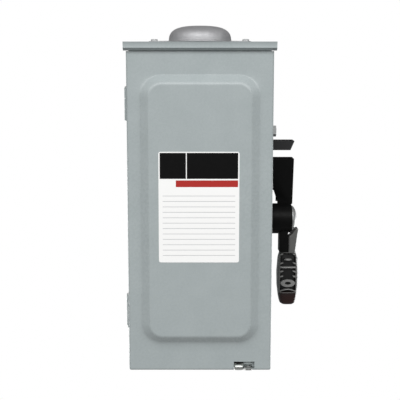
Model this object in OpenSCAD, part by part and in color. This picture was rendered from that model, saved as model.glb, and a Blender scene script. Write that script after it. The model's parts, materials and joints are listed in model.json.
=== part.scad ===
// Outdoor fusible AC disconnect box with a side handle, a hinged door and a two-pole knife switch.
// Frame: +Z up, the front faces -Y, and Y = 0 is the wall that the mounting pads stand on.

/* [Case] */
// Height from the bottom edge of the door to the top of the rain cap
case_h = 378; // [350:1:440]
// Width over the side walls
case_w = 160; // [156:1:220]
// Depth from the back wall to the front flanges
case_d = 108.5; // [104:0.5:140]
// Sheet steel thickness
sheet = 1.5; // [1:0.1:2]
// Outside bend radius of the case corners
bend_r = 4; // [3:0.5:6]
// Width of the front flange at each side
return_w = 12; // [8:1:16]
// Distance that the mounting pads hold the back wall off the wall
pad_h = 5; // [3:0.5:8]
// Radius of a mounting pad
pad_r = 12; // [9:0.5:16]
// Sideways spacing of the wall holes
wall_hole_x = 100; // [80:1:110]
// Upright spacing of the wall holes
wall_hole_z = 300; // [280:1:320]
// Radius of a wall hole
wall_hole_r = 3.5; // [2.5:0.1:5]

/* [Rain cap] */
// Height of the lip of the rain cap
lip_h = 6.9; // [5:0.1:12]
// How far the lip stands out past the sides of the door
lip_side = 2.8; // [2:0.1:6]
// How far the lip stands out past the face of the door
lip_front = 6; // [2:0.1:7]
// Corner radius of the lip
lip_r = 3; // [2:0.5:4]
// Depth of the skirt that holds the end walls in the case
skirt_h = 12; // [8:1:20]
// Radius of the conduit opening under the closing dome
hub_r = 26; // [18:1:30]
// Radius of the closing dome
dome_r = 36.5; // [34:0.5:42]
// Height of the closing dome above the rain cap
dome_h = 20; // [14:0.5:26]
// Thickness of the dome's plate
dome_plate_t = 1.6; // [1.2:0.1:4]
// Thickness of the dome's gasket
gasket_t = 1; // [0.8:0.1:3]
// Distance of each dome screw from the centre
hub_screw_x = 53.5; // [52:0.5:60]

/* [Door] */
// Gap between the door and the case, all round
door_gap = 1; // [0.8:0.1:2]
// Gap between the rain lip and the top of the door
door_top_gap = 3.3; // [1.5:0.1:4]
// Depth of the door's turned edge
door_flange = 12; // [9:0.5:16]
// Edge radius of the door
door_edge_r = 2.5; // [2.2:0.1:5]
// Corner radius of the door
door_corner_r = 2; // [1.8:0.1:4]
// Height of the raised panel
panel_rise = 8; // [7:0.5:9]
// Radius of the hollow bend at the foot of the raised panel
panel_foot_r = 4; // [2:0.5:8]
// Radius of the bend round the top of the raised panel
panel_bend_r = 4; // [2:0.5:6]
// Steepness of the raised panel's side, in degrees
panel_angle = 34; // [28:1:42]
// Corner radius of the raised panel's top
panel_r = 13; // [8:0.5:20]
// Flat margin beside the raised panel
panel_side = 12.2; // [8:0.2:24]
// Flat margin above the raised panel
panel_above = 22.6; // [12:0.2:40]
// Flat margin below the raised panel
panel_below = 30.4; // [20:0.2:50]

/* [Hinges and hasp] */
// Length of a hinge
hinge_l = 37; // [30:0.2:60]
// Distance between the middles of the hinges
hinge_span = 240; // [180:1:280]
// Radius of a hinge knuckle
knuckle_r = 2.6; // [2.2:0.1:3.2]
// Radius of a hinge pin
hinge_pin_r = 1.3; // [1:0.1:1.6]
// Distance of the hinge pin outside the door's edge
hinge_out = 0.6; // [0.5:0.1:1.6]
// Distance of the hinge pin behind the door's turned edge
hinge_back = 3; // [2.9:0.1:5]
// Thickness of a hinge leaf
leaf_t = 1.2; // [0.8:0.1:1.6]
// Distance from the side wall to where the latch notch meets the hasp window
hasp_in = 29; // [22:1:40]
// Width of the latch notch and the hasp window together
hasp_w = 24; // [22:1:30]
// Height of the latch notch
hasp_h = 10.5; // [9:0.5:14]
// Height of the door's edge that is left below the hasp window
hasp_strip = 2.9; // [2.2:0.1:3.4]
// Width of the hasp tab
tab_w = 8.8; // [8:0.2:10]
// Thickness of the hasp tab
tab_t = 2; // [1.5:0.1:3]
// How far the hasp tab stands out past the door's face
tab_out = 13; // [11:0.5:14]
// Radius of the padlock hole in the hasp
hasp_hole_r = 3; // [2.5:0.1:3.4]

/* [Handle] */
// Height of the handle's axis above the bottom of the door
axis_h = 172; // [165:1:180]
// Distance of the handle's axis from the wall
handle_d = 68; // [62:0.5:74]
// Radius of the handle shaft
shaft_r = 6; // [5:0.1:7]
// Radius of the handle's hub
handle_hub_r = 18; // [15:0.5:19]
// Distance from the side wall to the outer face of the lever
lever_out = 28.5; // [26:0.5:34]
// Distance from the axis to the top of the grip
grip_top = 39.5; // [36:0.5:48]
// Length of the grip
grip_l = 63.5; // [50:0.5:80]
// Width of the grip, sideways
grip_w = 25.5; // [20:0.5:30]
// Depth of the grip, front to back
grip_d = 24; // [18:0.5:30]
// Thickness of the bracket's steel
bracket_t = 2; // [1.5:0.1:3]
// How far the bracket stands out from the side wall
bracket_out = 32.4; // [28:0.2:34]
// Height of the bracket's top above the axis
bracket_top = 91.5; // [80:0.5:100]
// Height of the padlock slot
slot_h = 10.4; // [6:0.2:12]
// Height of the ear above the padlock slot
ear_h = 10.8; // [8:0.2:16]
// Turn of the handle from OFF to ON, in degrees
handle_turn = 150; // [90:1:150]

/* [Switch] */
// Distance of the switch's pivots from the wall
axis_d = 50; // [48:0.5:56]
// Distance between the poles
pole_pitch = 52; // [48:1:56]
// Sideways place of the middle between the poles
pole_mid = -6; // [-10:1:-4]
// Thickness of a switch blade
blade_t = 3; // [2:0.1:4]
// Width of a switch blade
blade_w = 16; // [12:0.5:18]
// Reach of a switch blade from its pivot
blade_l = 66; // [62:0.5:70]
// Lean of the blades from upright in the OFF position, in degrees
blade_lean = 50; // [35:1:55]
// Thickness of the copper jaws and straps
jaw_t = 1.5; // [1:0.1:2]
// Distance of the crossbar from the axis
bar_reach = 22; // [21:0.5:24]
// Side of the crossbar's square section
bar_side = 11; // [8:0.5:12]
// Radius of a blade pivot pin
pivot_r = 2.5; // [2:0.1:3]

/* [Fuses and terminals] */
// Width of the insulating bases
base_w = 104; // [92:1:104]
// Thickness of the insulating bases
base_t = 16; // [12:0.5:18]
// Radius of a fuse ferrule
ferrule_r = 10.3; // [8:0.1:11]
// Length of a fuse
fuse_l = 76; // [70:1:78]
// Length of a fuse ferrule
ferrule_l = 16; // [13:0.5:20]
// Side of a wire lug
lug_w = 15; // [12:0.5:18]
// Height of a wire lug
lug_h = 18; // [14:0.5:22]
// Radius of the wire hole in a lug
wire_r = 4; // [2.5:0.1:4.2]
// Radius of a lug screw
lug_screw_r = 3.5; // [2.5:0.1:4]

/* [Fits] */
// Running clearance of pins and shafts
run_fit = 0.06; // [0.03:0.01:0.1]
// Clearance between parts that are set together
set_fit = 0.2; // [0.1:0.05:0.3]
// Clearance between parts that pass each other
pass_gap = 0.4; // [0.3:0.05:0.6]

/* [Small features] */
// Radius of a conduit knockout
knockout_r = 14; // [10:0.5:18]
// Width of a knockout's groove
groove_w = 0.8; // [0.5:0.1:1.2]
// Depth of a knockout's groove
groove_d = 0.6; // [0.3:0.1:0.8]
// Radius of a screw shank
screw_r = 2; // [1.5:0.1:2.5]
// Radius of a screw or rivet head
head_r = 4; // [3:0.1:5]
// Height of a screw or rivet head
head_h = 2.4; // [1.5:0.1:3]
// Height of the interlock screw above the bottom of the door
interlock_h = 276; // [270:1:300]
// Distance across the flats of the interlock screw
interlock_flats = 11.3; // [9:0.1:13]

/* [Hidden] */
$fn = 48;
// Overshoot of a cut past the face that it opens
over = 1;
// Steps in a quarter turn of a drawn corner
arc_steps = 6;

// Planes of the case and the door
half_h = case_h / 2;
back_y = -pad_h;
inner_y = back_y - sheet;
front_y = back_y - case_d;
door_in_y = front_y - door_gap;
door_y = door_in_y - sheet;
panel_y = door_y - panel_rise;
flange_y = door_y + door_flange;
wall_x = case_w / 2;
inner_x = wall_x - sheet;
door_x = wall_x + door_gap + sheet;
case_z0 = -half_h + sheet + door_gap;
cap_z = half_h - sheet;
door_z0 = -half_h;
door_z1 = half_h - lip_h - door_top_gap;
cap_x = door_x + lip_side;
lip_y = door_y - lip_front;
mid_y = (back_y + front_y) / 2;

// Axes
axis_y = -axis_d;
handle_y = -handle_d;
axis_z = axis_h - half_h;
hasp_x = wall_x - hasp_in;
hinge_x = -door_x - hinge_out;
hinge_y = flange_y + hinge_back;
poles = [pole_mid - pole_pitch / 2, pole_mid + pole_pitch / 2];

steel_grey = [0.66, 0.7, 0.69];
bare_metal = [0.72, 0.72, 0.71];
black_paint = [0.08, 0.08, 0.08];
copper = [0.8, 0.5, 0.32];
moulding = [0.2, 0.17, 0.15];

// Points of an arc round c, from angle a0 to a1
function arc_pts(c, r, a0, a1, n = arc_steps) =
    [for (i = [0 : n]) let (a = a0 + (a1 - a0) * i / n) c + r * [cos(a), sin(a)]];

function reversed(v) = [for (i = [len(v) - 1 : -1 : 0]) v[i]];

// Outline of a rounded rectangle, anticlockwise
function round_rect(x0, y0, x1, y1, r) = concat(
    arc_pts([x1 - r, y1 - r], r, 0, 90),
    arc_pts([x0 + r, y1 - r], r, 90, 180),
    arc_pts([x0 + r, y0 + r], r, 180, 270),
    arc_pts([x1 - r, y0 + r], r, 270, 360));

// Closed skin through rings of equal length, with flat ends
module loft(rings) {
    n = len(rings[0]);
    last = (len(rings) - 1) * n;
    polyhedron(
        points = [for (ring = rings) each ring],
        faces = concat(
            [[for (i = [0 : n - 1]) i]],
            [for (k = [0 : n : last - n], i = [0 : n - 1]) let (j = (i + 1) % n)
                each [[k + i, k + n + i, k + n + j], [k + i, k + n + j, k + j]]],
            [[for (i = [n - 1 : -1 : 0]) last + i]]));
}

// Box between two opposite corners
module box(a, b) {
    translate(a)
        cube(b - a);
}

// Turns a solid built along +Z to run along +X, or to the back along +Y
module along_x() {
    rotate([0, 90, 0])
        children();
}
module along_y() {
    rotate([-90, 0, 0])
        children();
}

// Bar from x0 to x1, on the axis of the switch
module axis_bar(x0, x1, r) {
    translate([x0, axis_y, axis_z])
        along_x()
            cylinder(r = r, h = x1 - x0);
}

// Bar from x0 to x1, on the axis of the handle's shaft
module handle_bar(x0, x1, r) {
    translate([x0, handle_y, axis_z])
        along_x()
            cylinder(r = r, h = x1 - x0);
}

// Round bar from y0 back to y1
module y_bar(x, z, y0, y1, r) {
    translate([x, y0, z])
        along_y()
            cylinder(r = r, h = y1 - y0);
}

// Screw with its head in front of seat_y and its shank back to end_y
module y_screw(x, z, seat_y, end_y) {
    y_bar(x, z, seat_y - head_h, seat_y, head_r);
    y_bar(x, z, seat_y, end_y, screw_r);
}

// Ring groove that marks a knockout, cut down from z = 0
module knockout_groove(r) {
    translate([0, 0, -groove_d])
        rotate_extrude()
            translate([r, 0])
                square([groove_w, groove_d + over]);
}
// Two rings, one in the other
module knockout() {
    knockout_groove(knockout_r);
    knockout_groove(knockout_r - 4 * groove_w);
}

module at_wall_holes() {
    for (sx = [-1, 1], sz = [-1, 1])
        translate([sx * wall_hole_x / 2, 0, sz * wall_hole_z / 2])
            children();
}

// Smallest bend that a drawn-in corner keeps
least_bend = 0.5;
// Inside outline of the case, drawn in by d
module inside_outline(d) {
    polygon(round_rect(-inner_x + d, front_y + sheet + d, inner_x - d, inner_y - d,
        max(bend_r - sheet - d, least_bend)));
}

// Front face of the skirts
skirt_y = front_y + sheet + set_fit;
// Upright skirt that stands inside the case walls
module end_skirt(z0, h) {
    translate([0, 0, z0])
        linear_extrude(h)
            difference() {
                inside_outline(set_fit);
                inside_outline(set_fit + sheet);
            }
}

bush_r = 1.5 * shaft_r;
interlock_r = interlock_flats / 3;
side_knockout_z = case_z0 + skirt_h + 2.2 * knockout_r;
interlock_z = interlock_h - half_h;

module enclosure_wrap() color(steel_grey) difference() {
    union() {
        translate([0, 0, case_z0])
            linear_extrude(cap_z - case_z0)
                difference() {
                    polygon(round_rect(-wall_x, front_y, wall_x, back_y, bend_r));
                    inside_outline(0);
                    translate([-wall_x + return_w, front_y - over])
                        square([case_w - 2 * return_w, sheet + 2 * over]);
                }
        at_wall_holes()
            y_bar(0, 0, inner_y, 0, pad_r);
    }
    at_wall_holes()
        y_bar(0, 0, inner_y - over, -sheet, pad_r - sheet);
    at_wall_holes()
        y_bar(0, 0, -sheet - over, over, wall_hole_r);
    handle_bar(inner_x - over, wall_x + over, bush_r + set_fit);
    translate([inner_x - over, handle_y, interlock_z])
        along_x()
            cylinder(r = interlock_r + set_fit, h = sheet + 2 * over);
    for (side = [-1, 1])
        translate([side * wall_x, mid_y, side_knockout_z])
            rotate([0, side * 90, 0])
                knockout();
}

// Rain cap's outside drawn in by d and reaching down to z0
module cap_form(d, z0, rear_y) {
    r = lip_r - d;
    intersection() {
        translate([0, rear_y, 0])
            rotate([90, 0, 0])
                linear_extrude(rear_y - lip_y)
                    polygon(concat([[-cap_x + d, z0], [cap_x - d, z0]],
                        arc_pts([cap_x - d - r, half_h - d - r], r, 0, 90),
                        arc_pts([-cap_x + d + r, half_h - d - r], r, 90, 180)));
        translate([-cap_x, 0, 0])
            rotate([90, 0, 90])
                linear_extrude(2 * cap_x)
                    polygon(concat([[lip_y + d, z0], [rear_y, z0], [rear_y, half_h - d]],
                        arc_pts([lip_y + d + r, half_h - d - r], r, 90, 180)));
    }
}

module at_hub_screws() {
    for (side = [-1, 1])
        translate([side * hub_screw_x, mid_y, 0])
            children();
}

module top_endwall() color(steel_grey) difference() {
    union() {
        difference() {
            cap_form(0, half_h - lip_h, back_y);
            cap_form(sheet, half_h - lip_h - over, back_y + over);
        }
        end_skirt(cap_z - skirt_h, skirt_h + sheet / 2);
    }
    translate([0, mid_y, cap_z - over])
        cylinder(r = hub_r, h = sheet + 2 * over);
    at_hub_screws()
        translate([0, 0, cap_z - over])
            cylinder(r = screw_r + set_fit, h = sheet + 2 * over);
}

module bottom_endwall() color(steel_grey) difference() {
    union() {
        translate([0, 0, case_z0])
            linear_extrude(sheet)
                inside_outline(set_fit);
        end_skirt(case_z0 + sheet / 2, skirt_h);
    }
    for (x = [-3 * knockout_r, 0, 3 * knockout_r])
        translate([x, mid_y, case_z0])
            rotate([180, 0, 0])
                knockout();
}

// Plate under the closing dome, with an ear at each side for its screw
ear_r = 1.6 * head_r;
module hub_outline() {
    circle(r = dome_r + dome_plate_t);
    for (side = [-1, 1])
        translate([side * hub_screw_x, 0])
            circle(r = ear_r);
    web = dome_r - ear_r;
    polygon([[-hub_screw_x, -ear_r], [0, -web], [hub_screw_x, -ear_r], [hub_screw_x, ear_r], [0, web],
        [-hub_screw_x, ear_r]]);
}

module hub_plate(z0, t, bore) {
    difference() {
        translate([0, mid_y, z0])
            linear_extrude(t)
                hub_outline();
        translate([0, mid_y, z0 - over])
            cylinder(r = bore, h = t + 2 * over);
        at_hub_screws()
            translate([0, 0, z0 - over])
                cylinder(r = screw_r + set_fit, h = t + 2 * over);
    }
}

module hub_gasket() color([0.12, 0.12, 0.12])
    hub_plate(half_h, gasket_t, hub_r);

dome_wall = 0.8 * dome_plate_t;
hub_plate_z = half_h + gasket_t;
// Fullness of the dome: 2 is an ellipse, and a larger power has squarer shoulders
dome_power = 3;
dome_steps = 12;
// Half section of a full dome of radius r and height h, from its rim to its top
function dome_pts(r, h) = [for (i = [0 : dome_steps]) let (a = 90 * i / dome_steps)
    [r * pow(cos(a), 2 / dome_power), hub_plate_z + h * pow(sin(a), 2 / dome_power)]];
module hub_cap() color(bare_metal) {
    h = half_h + dome_h - hub_plate_z;
    hub_plate(hub_plate_z, dome_plate_t, dome_r - dome_wall);
    translate([0, mid_y, 0])
        rotate_extrude()
            polygon(concat(dome_pts(dome_r, h), reversed(dome_pts(dome_r - dome_wall, h - dome_wall))));
}

module hub_cap_screws() color(bare_metal)
    at_hub_screws() {
        translate([0, 0, cap_z - 4 * sheet])
            cylinder(r = screw_r, h = hub_plate_z + dome_plate_t - cap_z + 4 * sheet);
        translate([0, 0, hub_plate_z + dome_plate_t])
            cylinder(r = head_r, h = head_h);
    }

leaf_d = door_flange - leaf_t;
knuckle_l = hinge_l / 3;
module at_hinges() {
    for (side = [-1, 1])
        translate([0, 0, side * hinge_span / 2])
            children();
}
module hinge_bore() {
    translate([hinge_x, hinge_y, -hinge_l / 2 - over])
        cylinder(r = hinge_pin_r + run_fit, h = hinge_l + 2 * over);
}

// Fixed leaf: two end knuckles curled out of a plate on the side wall
module hinge_case_leaves() color(steel_grey) at_hinges() difference() {
    union() {
        box([-wall_x - leaf_t, hinge_y + knuckle_r + pass_gap, -hinge_l / 2],
            [-wall_x, hinge_y + knuckle_r + leaf_d, hinge_l / 2]);
        for (z = [-hinge_l / 2, hinge_l / 2 - knuckle_l]) {
            translate([hinge_x, hinge_y, z])
                cylinder(r = knuckle_r, h = knuckle_l);
            box([hinge_x, hinge_y, z], [-wall_x, hinge_y + knuckle_r + 2 * leaf_t, z + knuckle_l]);
        }
    }
    hinge_bore();
}

module hinge_pins() color(bare_metal) at_hinges() {
    translate([hinge_x, hinge_y, -hinge_l / 2])
        cylinder(r = hinge_pin_r, h = hinge_l);
    translate([hinge_x, hinge_y, hinge_l / 2])
        cylinder(r = knuckle_r - leaf_t / 2, h = leaf_t);
}

// Door leaf: one middle knuckle on a plate on the door's turned edge
module hinge_door_leaves() color(steel_grey) at_hinges() difference() {
    union() {
        box([-door_x - leaf_t, flange_y - leaf_d + door_edge_r, -hinge_l / 2],
            [-door_x, flange_y, hinge_l / 2]);
        translate([hinge_x, hinge_y, -knuckle_l / 2 + pass_gap])
            cylinder(r = knuckle_r, h = knuckle_l - 2 * pass_gap);
        box([-door_x - leaf_t, flange_y - leaf_t, -knuckle_l / 2 + pass_gap],
            [-door_x, hinge_y, knuckle_l / 2 - pass_gap]);
    }
    hinge_bore();
}

// Padlock tab on a foot against the bottom skirt, standing out through the window in the door
notch_x0 = hasp_x - 0.48 * hasp_w;
window_x1 = hasp_x + 0.52 * hasp_w;
tab_x0 = hasp_x + 1.25 * pass_gap;
tab_x = tab_x0 + tab_w / 2;
tab_y = door_y - tab_out;
tab_z = door_z0 + hasp_strip + sheet;
module hasp_tab() color(bare_metal) difference() {
    union() {
        translate([0, 0, tab_z])
            linear_extrude(tab_t)
                difference() {
                    polygon(round_rect(tab_x0, tab_y, tab_x0 + tab_w, skirt_y + tab_w, tab_w / 3));
                    translate([tab_x0 - over, skirt_y])
                        square(tab_w + 2 * over);
                }
        box([tab_x0, skirt_y - sheet, case_z0 + sheet], [tab_x0 + tab_w, skirt_y, tab_z + tab_t]);
    }
    translate([tab_x, door_y - tab_out / 2, tab_z - over])
        cylinder(r = hasp_hole_r, h = tab_t + 2 * over);
}

// Side of the raised panel: a hollow bend, a straight flank and a round bend, as [inwards, outwards] steps
bend_steps = 4;
flank_h = panel_rise - (panel_foot_r + panel_bend_r) * (1 - cos(panel_angle));
panel_run = (panel_foot_r + panel_bend_r) * sin(panel_angle) + flank_h / tan(panel_angle);
panel_steps = concat(
    [for (i = [0 : bend_steps]) let (a = panel_angle * i / bend_steps)
        panel_foot_r * [sin(a), 1 - cos(a)]],
    [for (i = [bend_steps : -1 : 0]) let (a = panel_angle * i / bend_steps)
        [panel_run, panel_rise] - panel_bend_r * [sin(a), 1 - cos(a)]]);

// The pan is drawn taller by this much, and its top is sheared off level
top_trim = door_edge_r + door_corner_r;
least_corner = 0.3;
// One ring of the door's skin, at depth y, drawn in by the side, below and above
function door_ring(y, side, below, above, r) = [
    for (p = round_rect(-door_x + side, door_z0 + below, door_x - side, door_z1 + top_trim - above, r))
    [p[0], y, p[1]]];
// Rings from the turned edge to the raised panel's top, on the skin drawn in by d
function door_skin(d) = concat(
    [door_ring(flange_y, d, d, d, max(door_corner_r - d, least_corner))],
    [for (i = [0 : bend_steps]) let (a = 90 * i / bend_steps, e = door_edge_r - d, in = d + e * (1 - cos(a)))
        door_ring(door_y + d + e * (1 - sin(a)), in, in, in, max(door_corner_r - in, least_corner))],
    [for (p = panel_steps)
        door_ring(door_y + d - p[1], panel_side + p[0], panel_below + p[0], panel_above + top_trim + p[0],
            panel_r + panel_run - p[0])]);

module door_panel() color(steel_grey) difference() {
    loft(concat(reversed(door_skin(sheet)), door_skin(0)));
    box([-door_x - over, panel_y - over, door_z1], [door_x + over, flange_y + over, door_z1 + 2 * top_trim]);
    box([notch_x0, door_y - over, door_z0 - over], [hasp_x, flange_y + over, door_z0 + hasp_h]);
    box([hasp_x - over, door_y - over, door_z0 + hasp_strip],
        [window_x1, flange_y + over, door_z0 + hasp_h]);
}

// Spring latch on the inside of the door, its rolled end showing in the latch notch
latch_x0 = notch_x0 + pass_gap;
latch_x1 = hasp_x - pass_gap;
latch_t = sheet / 2;
latch_r = 0.36 * hasp_h;
module door_latch() color(bare_metal) {
    box([latch_x0, door_in_y, door_z0 + latch_r], [latch_x1, door_in_y + latch_t, door_z0 + 2 * hasp_h]);
    translate([latch_x0, skirt_y - pass_gap - latch_r, door_z0 + latch_r + pass_gap])
        along_x()
            cylinder(r = latch_r, h = latch_x1 - latch_x0);
}

// Black bracket on the side wall: a folded guard above the hub, with the padlock slot and its ear
web_back = handle_hub_r / 2;
web_front = handle_y + web_back;
web_rear = web_front + 0.8 * bracket_out;
// The guard's lower edge just clears the turning hub
web_low = axis_z + sqrt(pow(handle_hub_r + pass_gap, 2) - pow(web_back, 2));
bracket_x = wall_x + bracket_out;
plate_x = wall_x + bracket_t;
bracket_z0 = axis_z - 4 / 3 * handle_hub_r;
bracket_z1 = axis_z + bracket_top;
ear_z = bracket_z1 - ear_h;
ear_slant = bracket_out / 7;
notch_w = bracket_out / 3;
guard_slant = 0.8 * bracket_t;
notch_h = 1.6 * slot_h;
rivet_in = 1.5 * head_r;
rivet_places = [
    [handle_y - handle_hub_r + rivet_in, web_low + 2 * rivet_in],
    [handle_y - handle_hub_r + rivet_in, bracket_z1 - rivet_in],
    [web_rear - rivet_in, bracket_z0 + rivet_in]
];
module handle_bracket() color(black_paint) difference() {
    union() {
        box([wall_x, handle_y - handle_hub_r - bracket_t, bracket_z0], [plate_x, web_rear, bracket_z1]);
        difference() {
            box([wall_x, web_front, web_low], [bracket_x, web_rear, bracket_z1]);
            box([wall_x - over, web_front + bracket_t, web_low - over],
                [bracket_x - bracket_t, web_rear - bracket_t, bracket_z1 + over]);
        }
    }
    box([plate_x, web_front - over, ear_z - slot_h], [bracket_x + over, web_rear + over, ear_z]);
    // Slanted ends of the ear and the guard, and the slanted notch at the guard's foot
    translate([0, web_rear + over, 0])
        rotate([90, 0, 0])
            linear_extrude(web_rear - web_front + 2 * over) {
                polygon([[bracket_x - ear_slant, ear_z], [bracket_x + over, ear_z],
                    [bracket_x + over, bracket_z1], [bracket_x, bracket_z1]]);
                polygon([[bracket_x - guard_slant, web_low], [bracket_x - guard_slant, web_low - over],
                    [bracket_x + over, web_low - over], [bracket_x + over, ear_z], [bracket_x, ear_z]]);
                polygon([[plate_x, web_low - over], [plate_x + notch_w, web_low - over],
                    [plate_x + notch_w, web_low + notch_h / 3], [plate_x + notch_w * 2 / 3, web_low + notch_h],
                    [plate_x, web_low + notch_h]]);
            }
    handle_bar(wall_x - over, plate_x + over, bush_r + set_fit);
    for (p = rivet_places)
        translate([wall_x - over, p[0], p[1]])
            along_x()
                cylinder(r = screw_r + set_fit, h = bracket_t + 2 * over);
}
module bracket_rivets() color(black_paint)
    for (p = rivet_places)
        translate([wall_x, p[0], p[1]])
            along_x() {
                cylinder(r = screw_r, h = bracket_t);
                translate([0, 0, bracket_t])
                    cylinder(r = head_r, h = head_h / 2);
            }

// Flanged bush that carries the handle shaft in the side wall
frame_t = bracket_t;
frame_in = inner_x - frame_t;
module shaft_bushing() color([0.75, 0.62, 0.32]) difference() {
    union() {
        handle_bar(frame_in, plate_x, bush_r);
        handle_bar(frame_in - frame_t, frame_in, 2 * shaft_r);
    }
    handle_bar(frame_in - frame_t - over, plate_x + over, shaft_r + run_fit);
}

// Hexagon screw of the door interlock above the handle, with its nut inside the wall
hex_r = interlock_flats / sqrt(3);
interlock_collar = interlock_flats / 3;
module interlock_screw() color(bare_metal) translate([wall_x, handle_y, interlock_z]) along_x() {
    cylinder(r = hex_r, h = interlock_collar);
    translate([0, 0, interlock_collar])
        cylinder(r = hex_r, h = interlock_flats / 2, $fn = 6);
    translate([0, 0, -interlock_flats])
        cylinder(r = interlock_r, h = interlock_flats);
}
module interlock_nut() color(bare_metal)
    translate([inner_x - interlock_flats / 2, handle_y, interlock_z])
        along_x()
            difference() {
                cylinder(r = 1.1 * hex_r, h = interlock_flats / 2, $fn = 6);
                translate([0, 0, -over])
                    cylinder(r = interlock_r + run_fit, h = interlock_flats);
            }

// Folded frame inside the right wall: it carries the bush, the shaft's end and the rotor's journal
frame_inner_x = frame_in - 4.1 * shaft_r;
frame_back = 0.4 * axis_y;
frame_half = handle_hub_r + 2 * shaft_r;
journal_r = shaft_r * 5 / 6;
module mechanism_frame() color(bare_metal) difference() {
    union() {
        box([frame_in, handle_y - frame_half, axis_z - frame_half],
            [inner_x, frame_back, axis_z + frame_half]);
        box([frame_inner_x, handle_y - handle_hub_r, axis_z - handle_hub_r],
            [frame_inner_x + frame_t, frame_back, axis_z + handle_hub_r]);
        box([frame_inner_x, frame_back - frame_t, axis_z - handle_hub_r],
            [inner_x, frame_back, axis_z + handle_hub_r]);
    }
    handle_bar(frame_in - over, inner_x + over, bush_r + set_fit);
    handle_bar(frame_inner_x - over, frame_inner_x + frame_t + over, shaft_r + run_fit);
    axis_bar(frame_inner_x - over, frame_inner_x + frame_t + over, journal_r + run_fit);
    at_frame_screws()
        cylinder(r = screw_r + set_fit, h = frame_t + 2 * over, center = true);
}
module at_frame_screws() {
    for (y = [handle_y - frame_half + screw_in, frame_back - screw_in], sz = [-1, 1])
        translate([frame_in + frame_t / 2, y, axis_z + sz * (frame_half - screw_in)])
            along_x()
                children();
}
module frame_screws() color(bare_metal) at_frame_screws() {
    translate([0, 0, -frame_t / 2])
        cylinder(r = screw_r, h = frame_t);
    translate([0, 0, -frame_t / 2 - head_h])
        cylinder(r = head_r, h = head_h);
}

// Handle: pressed lever with a stepped round hub, on the shaft
hub_x0 = plate_x + 1.5 * pass_gap;
hub_x1 = wall_x + 0.58 * lever_out;
lever_x = wall_x + lever_out;
step_r = handle_hub_r * 17 / 18;
arm_x0 = wall_x + lever_out / 2;
arm_x1 = lever_x - lever_out / 7;
arm_w = handle_hub_r * 10 / 9;
arm_wall = arm_w / 8;
arm_end = axis_z - grip_top + set_fit;
// Flat tang of the lever, set in the grip
grip_x = wall_x + 0.87 * lever_out;
tang_t = grip_w / 4;
tang_x0 = grip_x - 1.2 * tang_t;
tang_w = arm_w / 2;
tang_l = grip_l / 2;
module lever_tang(d) {
    box([tang_x0 - d, handle_y - tang_w / 2 - d, arm_end - tang_l - d],
        [tang_x0 + tang_t + d, handle_y + tang_w / 2 + d, arm_end + arm_wall]);
}
module handle_lever() color(black_paint) difference() {
    union() {
        handle_bar(hub_x0, hub_x1, handle_hub_r);
        handle_bar(hub_x1, lever_x, step_r);
        difference() {
            box([arm_x0, handle_y - arm_w / 2, arm_end], [arm_x1, handle_y + arm_w / 2, axis_z]);
            box([arm_x0 + arm_wall, handle_y - arm_w / 2 + arm_wall, arm_end + arm_wall],
                [arm_x1 - arm_wall, handle_y + arm_w / 2 + over, axis_z - handle_hub_r - arm_wall]);
        }
        lever_tang(0);
    }
    handle_bar(hub_x0 - over, lever_x + over, shaft_r + run_fit);
    at_grip_rivets()
        cylinder(r = screw_r + set_fit, h = 4 * grip_w, center = true);
}

// Moulded grip: a rounded bar with cored pockets in front and a thumb fin on its outer side
// Half widths along the grip, as shares of the full width, from its top to its end
grip_stations = [[0, 0.72], [0.12, 0.9], [0.4, 1], [0.65, 0.97], [0.85, 0.85], [0.96, 0.74], [1, 0.66]];
function grip_ring(s) = let (hw = grip_w * s[1] / 2, hd = grip_d * (s[1] + 1) / 4) [
    for (p = round_rect(-hw, -hd, hw, hd, hw / 2))
    [grip_x + p[0], handle_y + p[1], axis_z - grip_top - grip_l * s[0]]];
pocket_d = 0.19 * grip_d;
pocket_w = 0.6 * grip_w;
pockets = 5;
pocket_gap = grip_l / (pockets + 2);
// The fin's edge runs down past the pivot cap, the hub and the arm
fin_gap = 1.25 * pass_gap;
fin_x0 = arm_x1 + fin_gap;
fin_x1 = grip_x + grip_w / 2 - fin_gap;
fin_tip = axis_z - 0.64 * handle_hub_r;
fin_bend = axis_z - step_r - fin_gap;
fin_foot = axis_z - grip_top - tang_t / 2;
module thumb_fin() {
    translate([0, handle_y + 0.4 * arm_w, 0])
        rotate([90, 0, 0])
            linear_extrude(0.8 * arm_w)
                polygon([[fin_x1, fin_tip], [fin_x1 - tang_t / 2, fin_tip], [lever_x + fin_gap, fin_bend],
                    [fin_x0, fin_bend - (lever_x + fin_gap - fin_x0)], [fin_x0, fin_foot],
                    [grip_x + grip_w / 3, fin_foot]]);
}
module handle_grip() color([0.2, 0.2, 0.2]) difference() {
    union() {
        loft([for (i = [len(grip_stations) - 1 : -1 : 0]) grip_ring(grip_stations[i])]);
        thumb_fin();
    }
    for (i = [1 : pockets])
        translate([grip_x - pocket_w / 2, handle_y - grip_d / 2 - over, axis_z - grip_top])
            translate([0, 0, -(i + 0.5) * pocket_gap])
                cube([pocket_w, pocket_d + over, 0.75 * pocket_gap]);
    lever_tang(set_fit);
    at_grip_rivets()
        cylinder(r = screw_r + set_fit, h = 4 * grip_w, center = true);
}
module at_grip_rivets() {
    for (share = [1 / 3, 3 / 4])
        translate([tang_x0, handle_y, arm_end - share * tang_l])
            along_x()
                children();
}
module grip_rivets() color(bare_metal) at_grip_rivets()
    cylinder(r = screw_r, h = grip_x + grip_w / 2 - tang_x0 - fin_gap);

module handle_shaft() color(bare_metal)
    handle_bar(frame_inner_x, lever_x, shaft_r);

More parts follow.
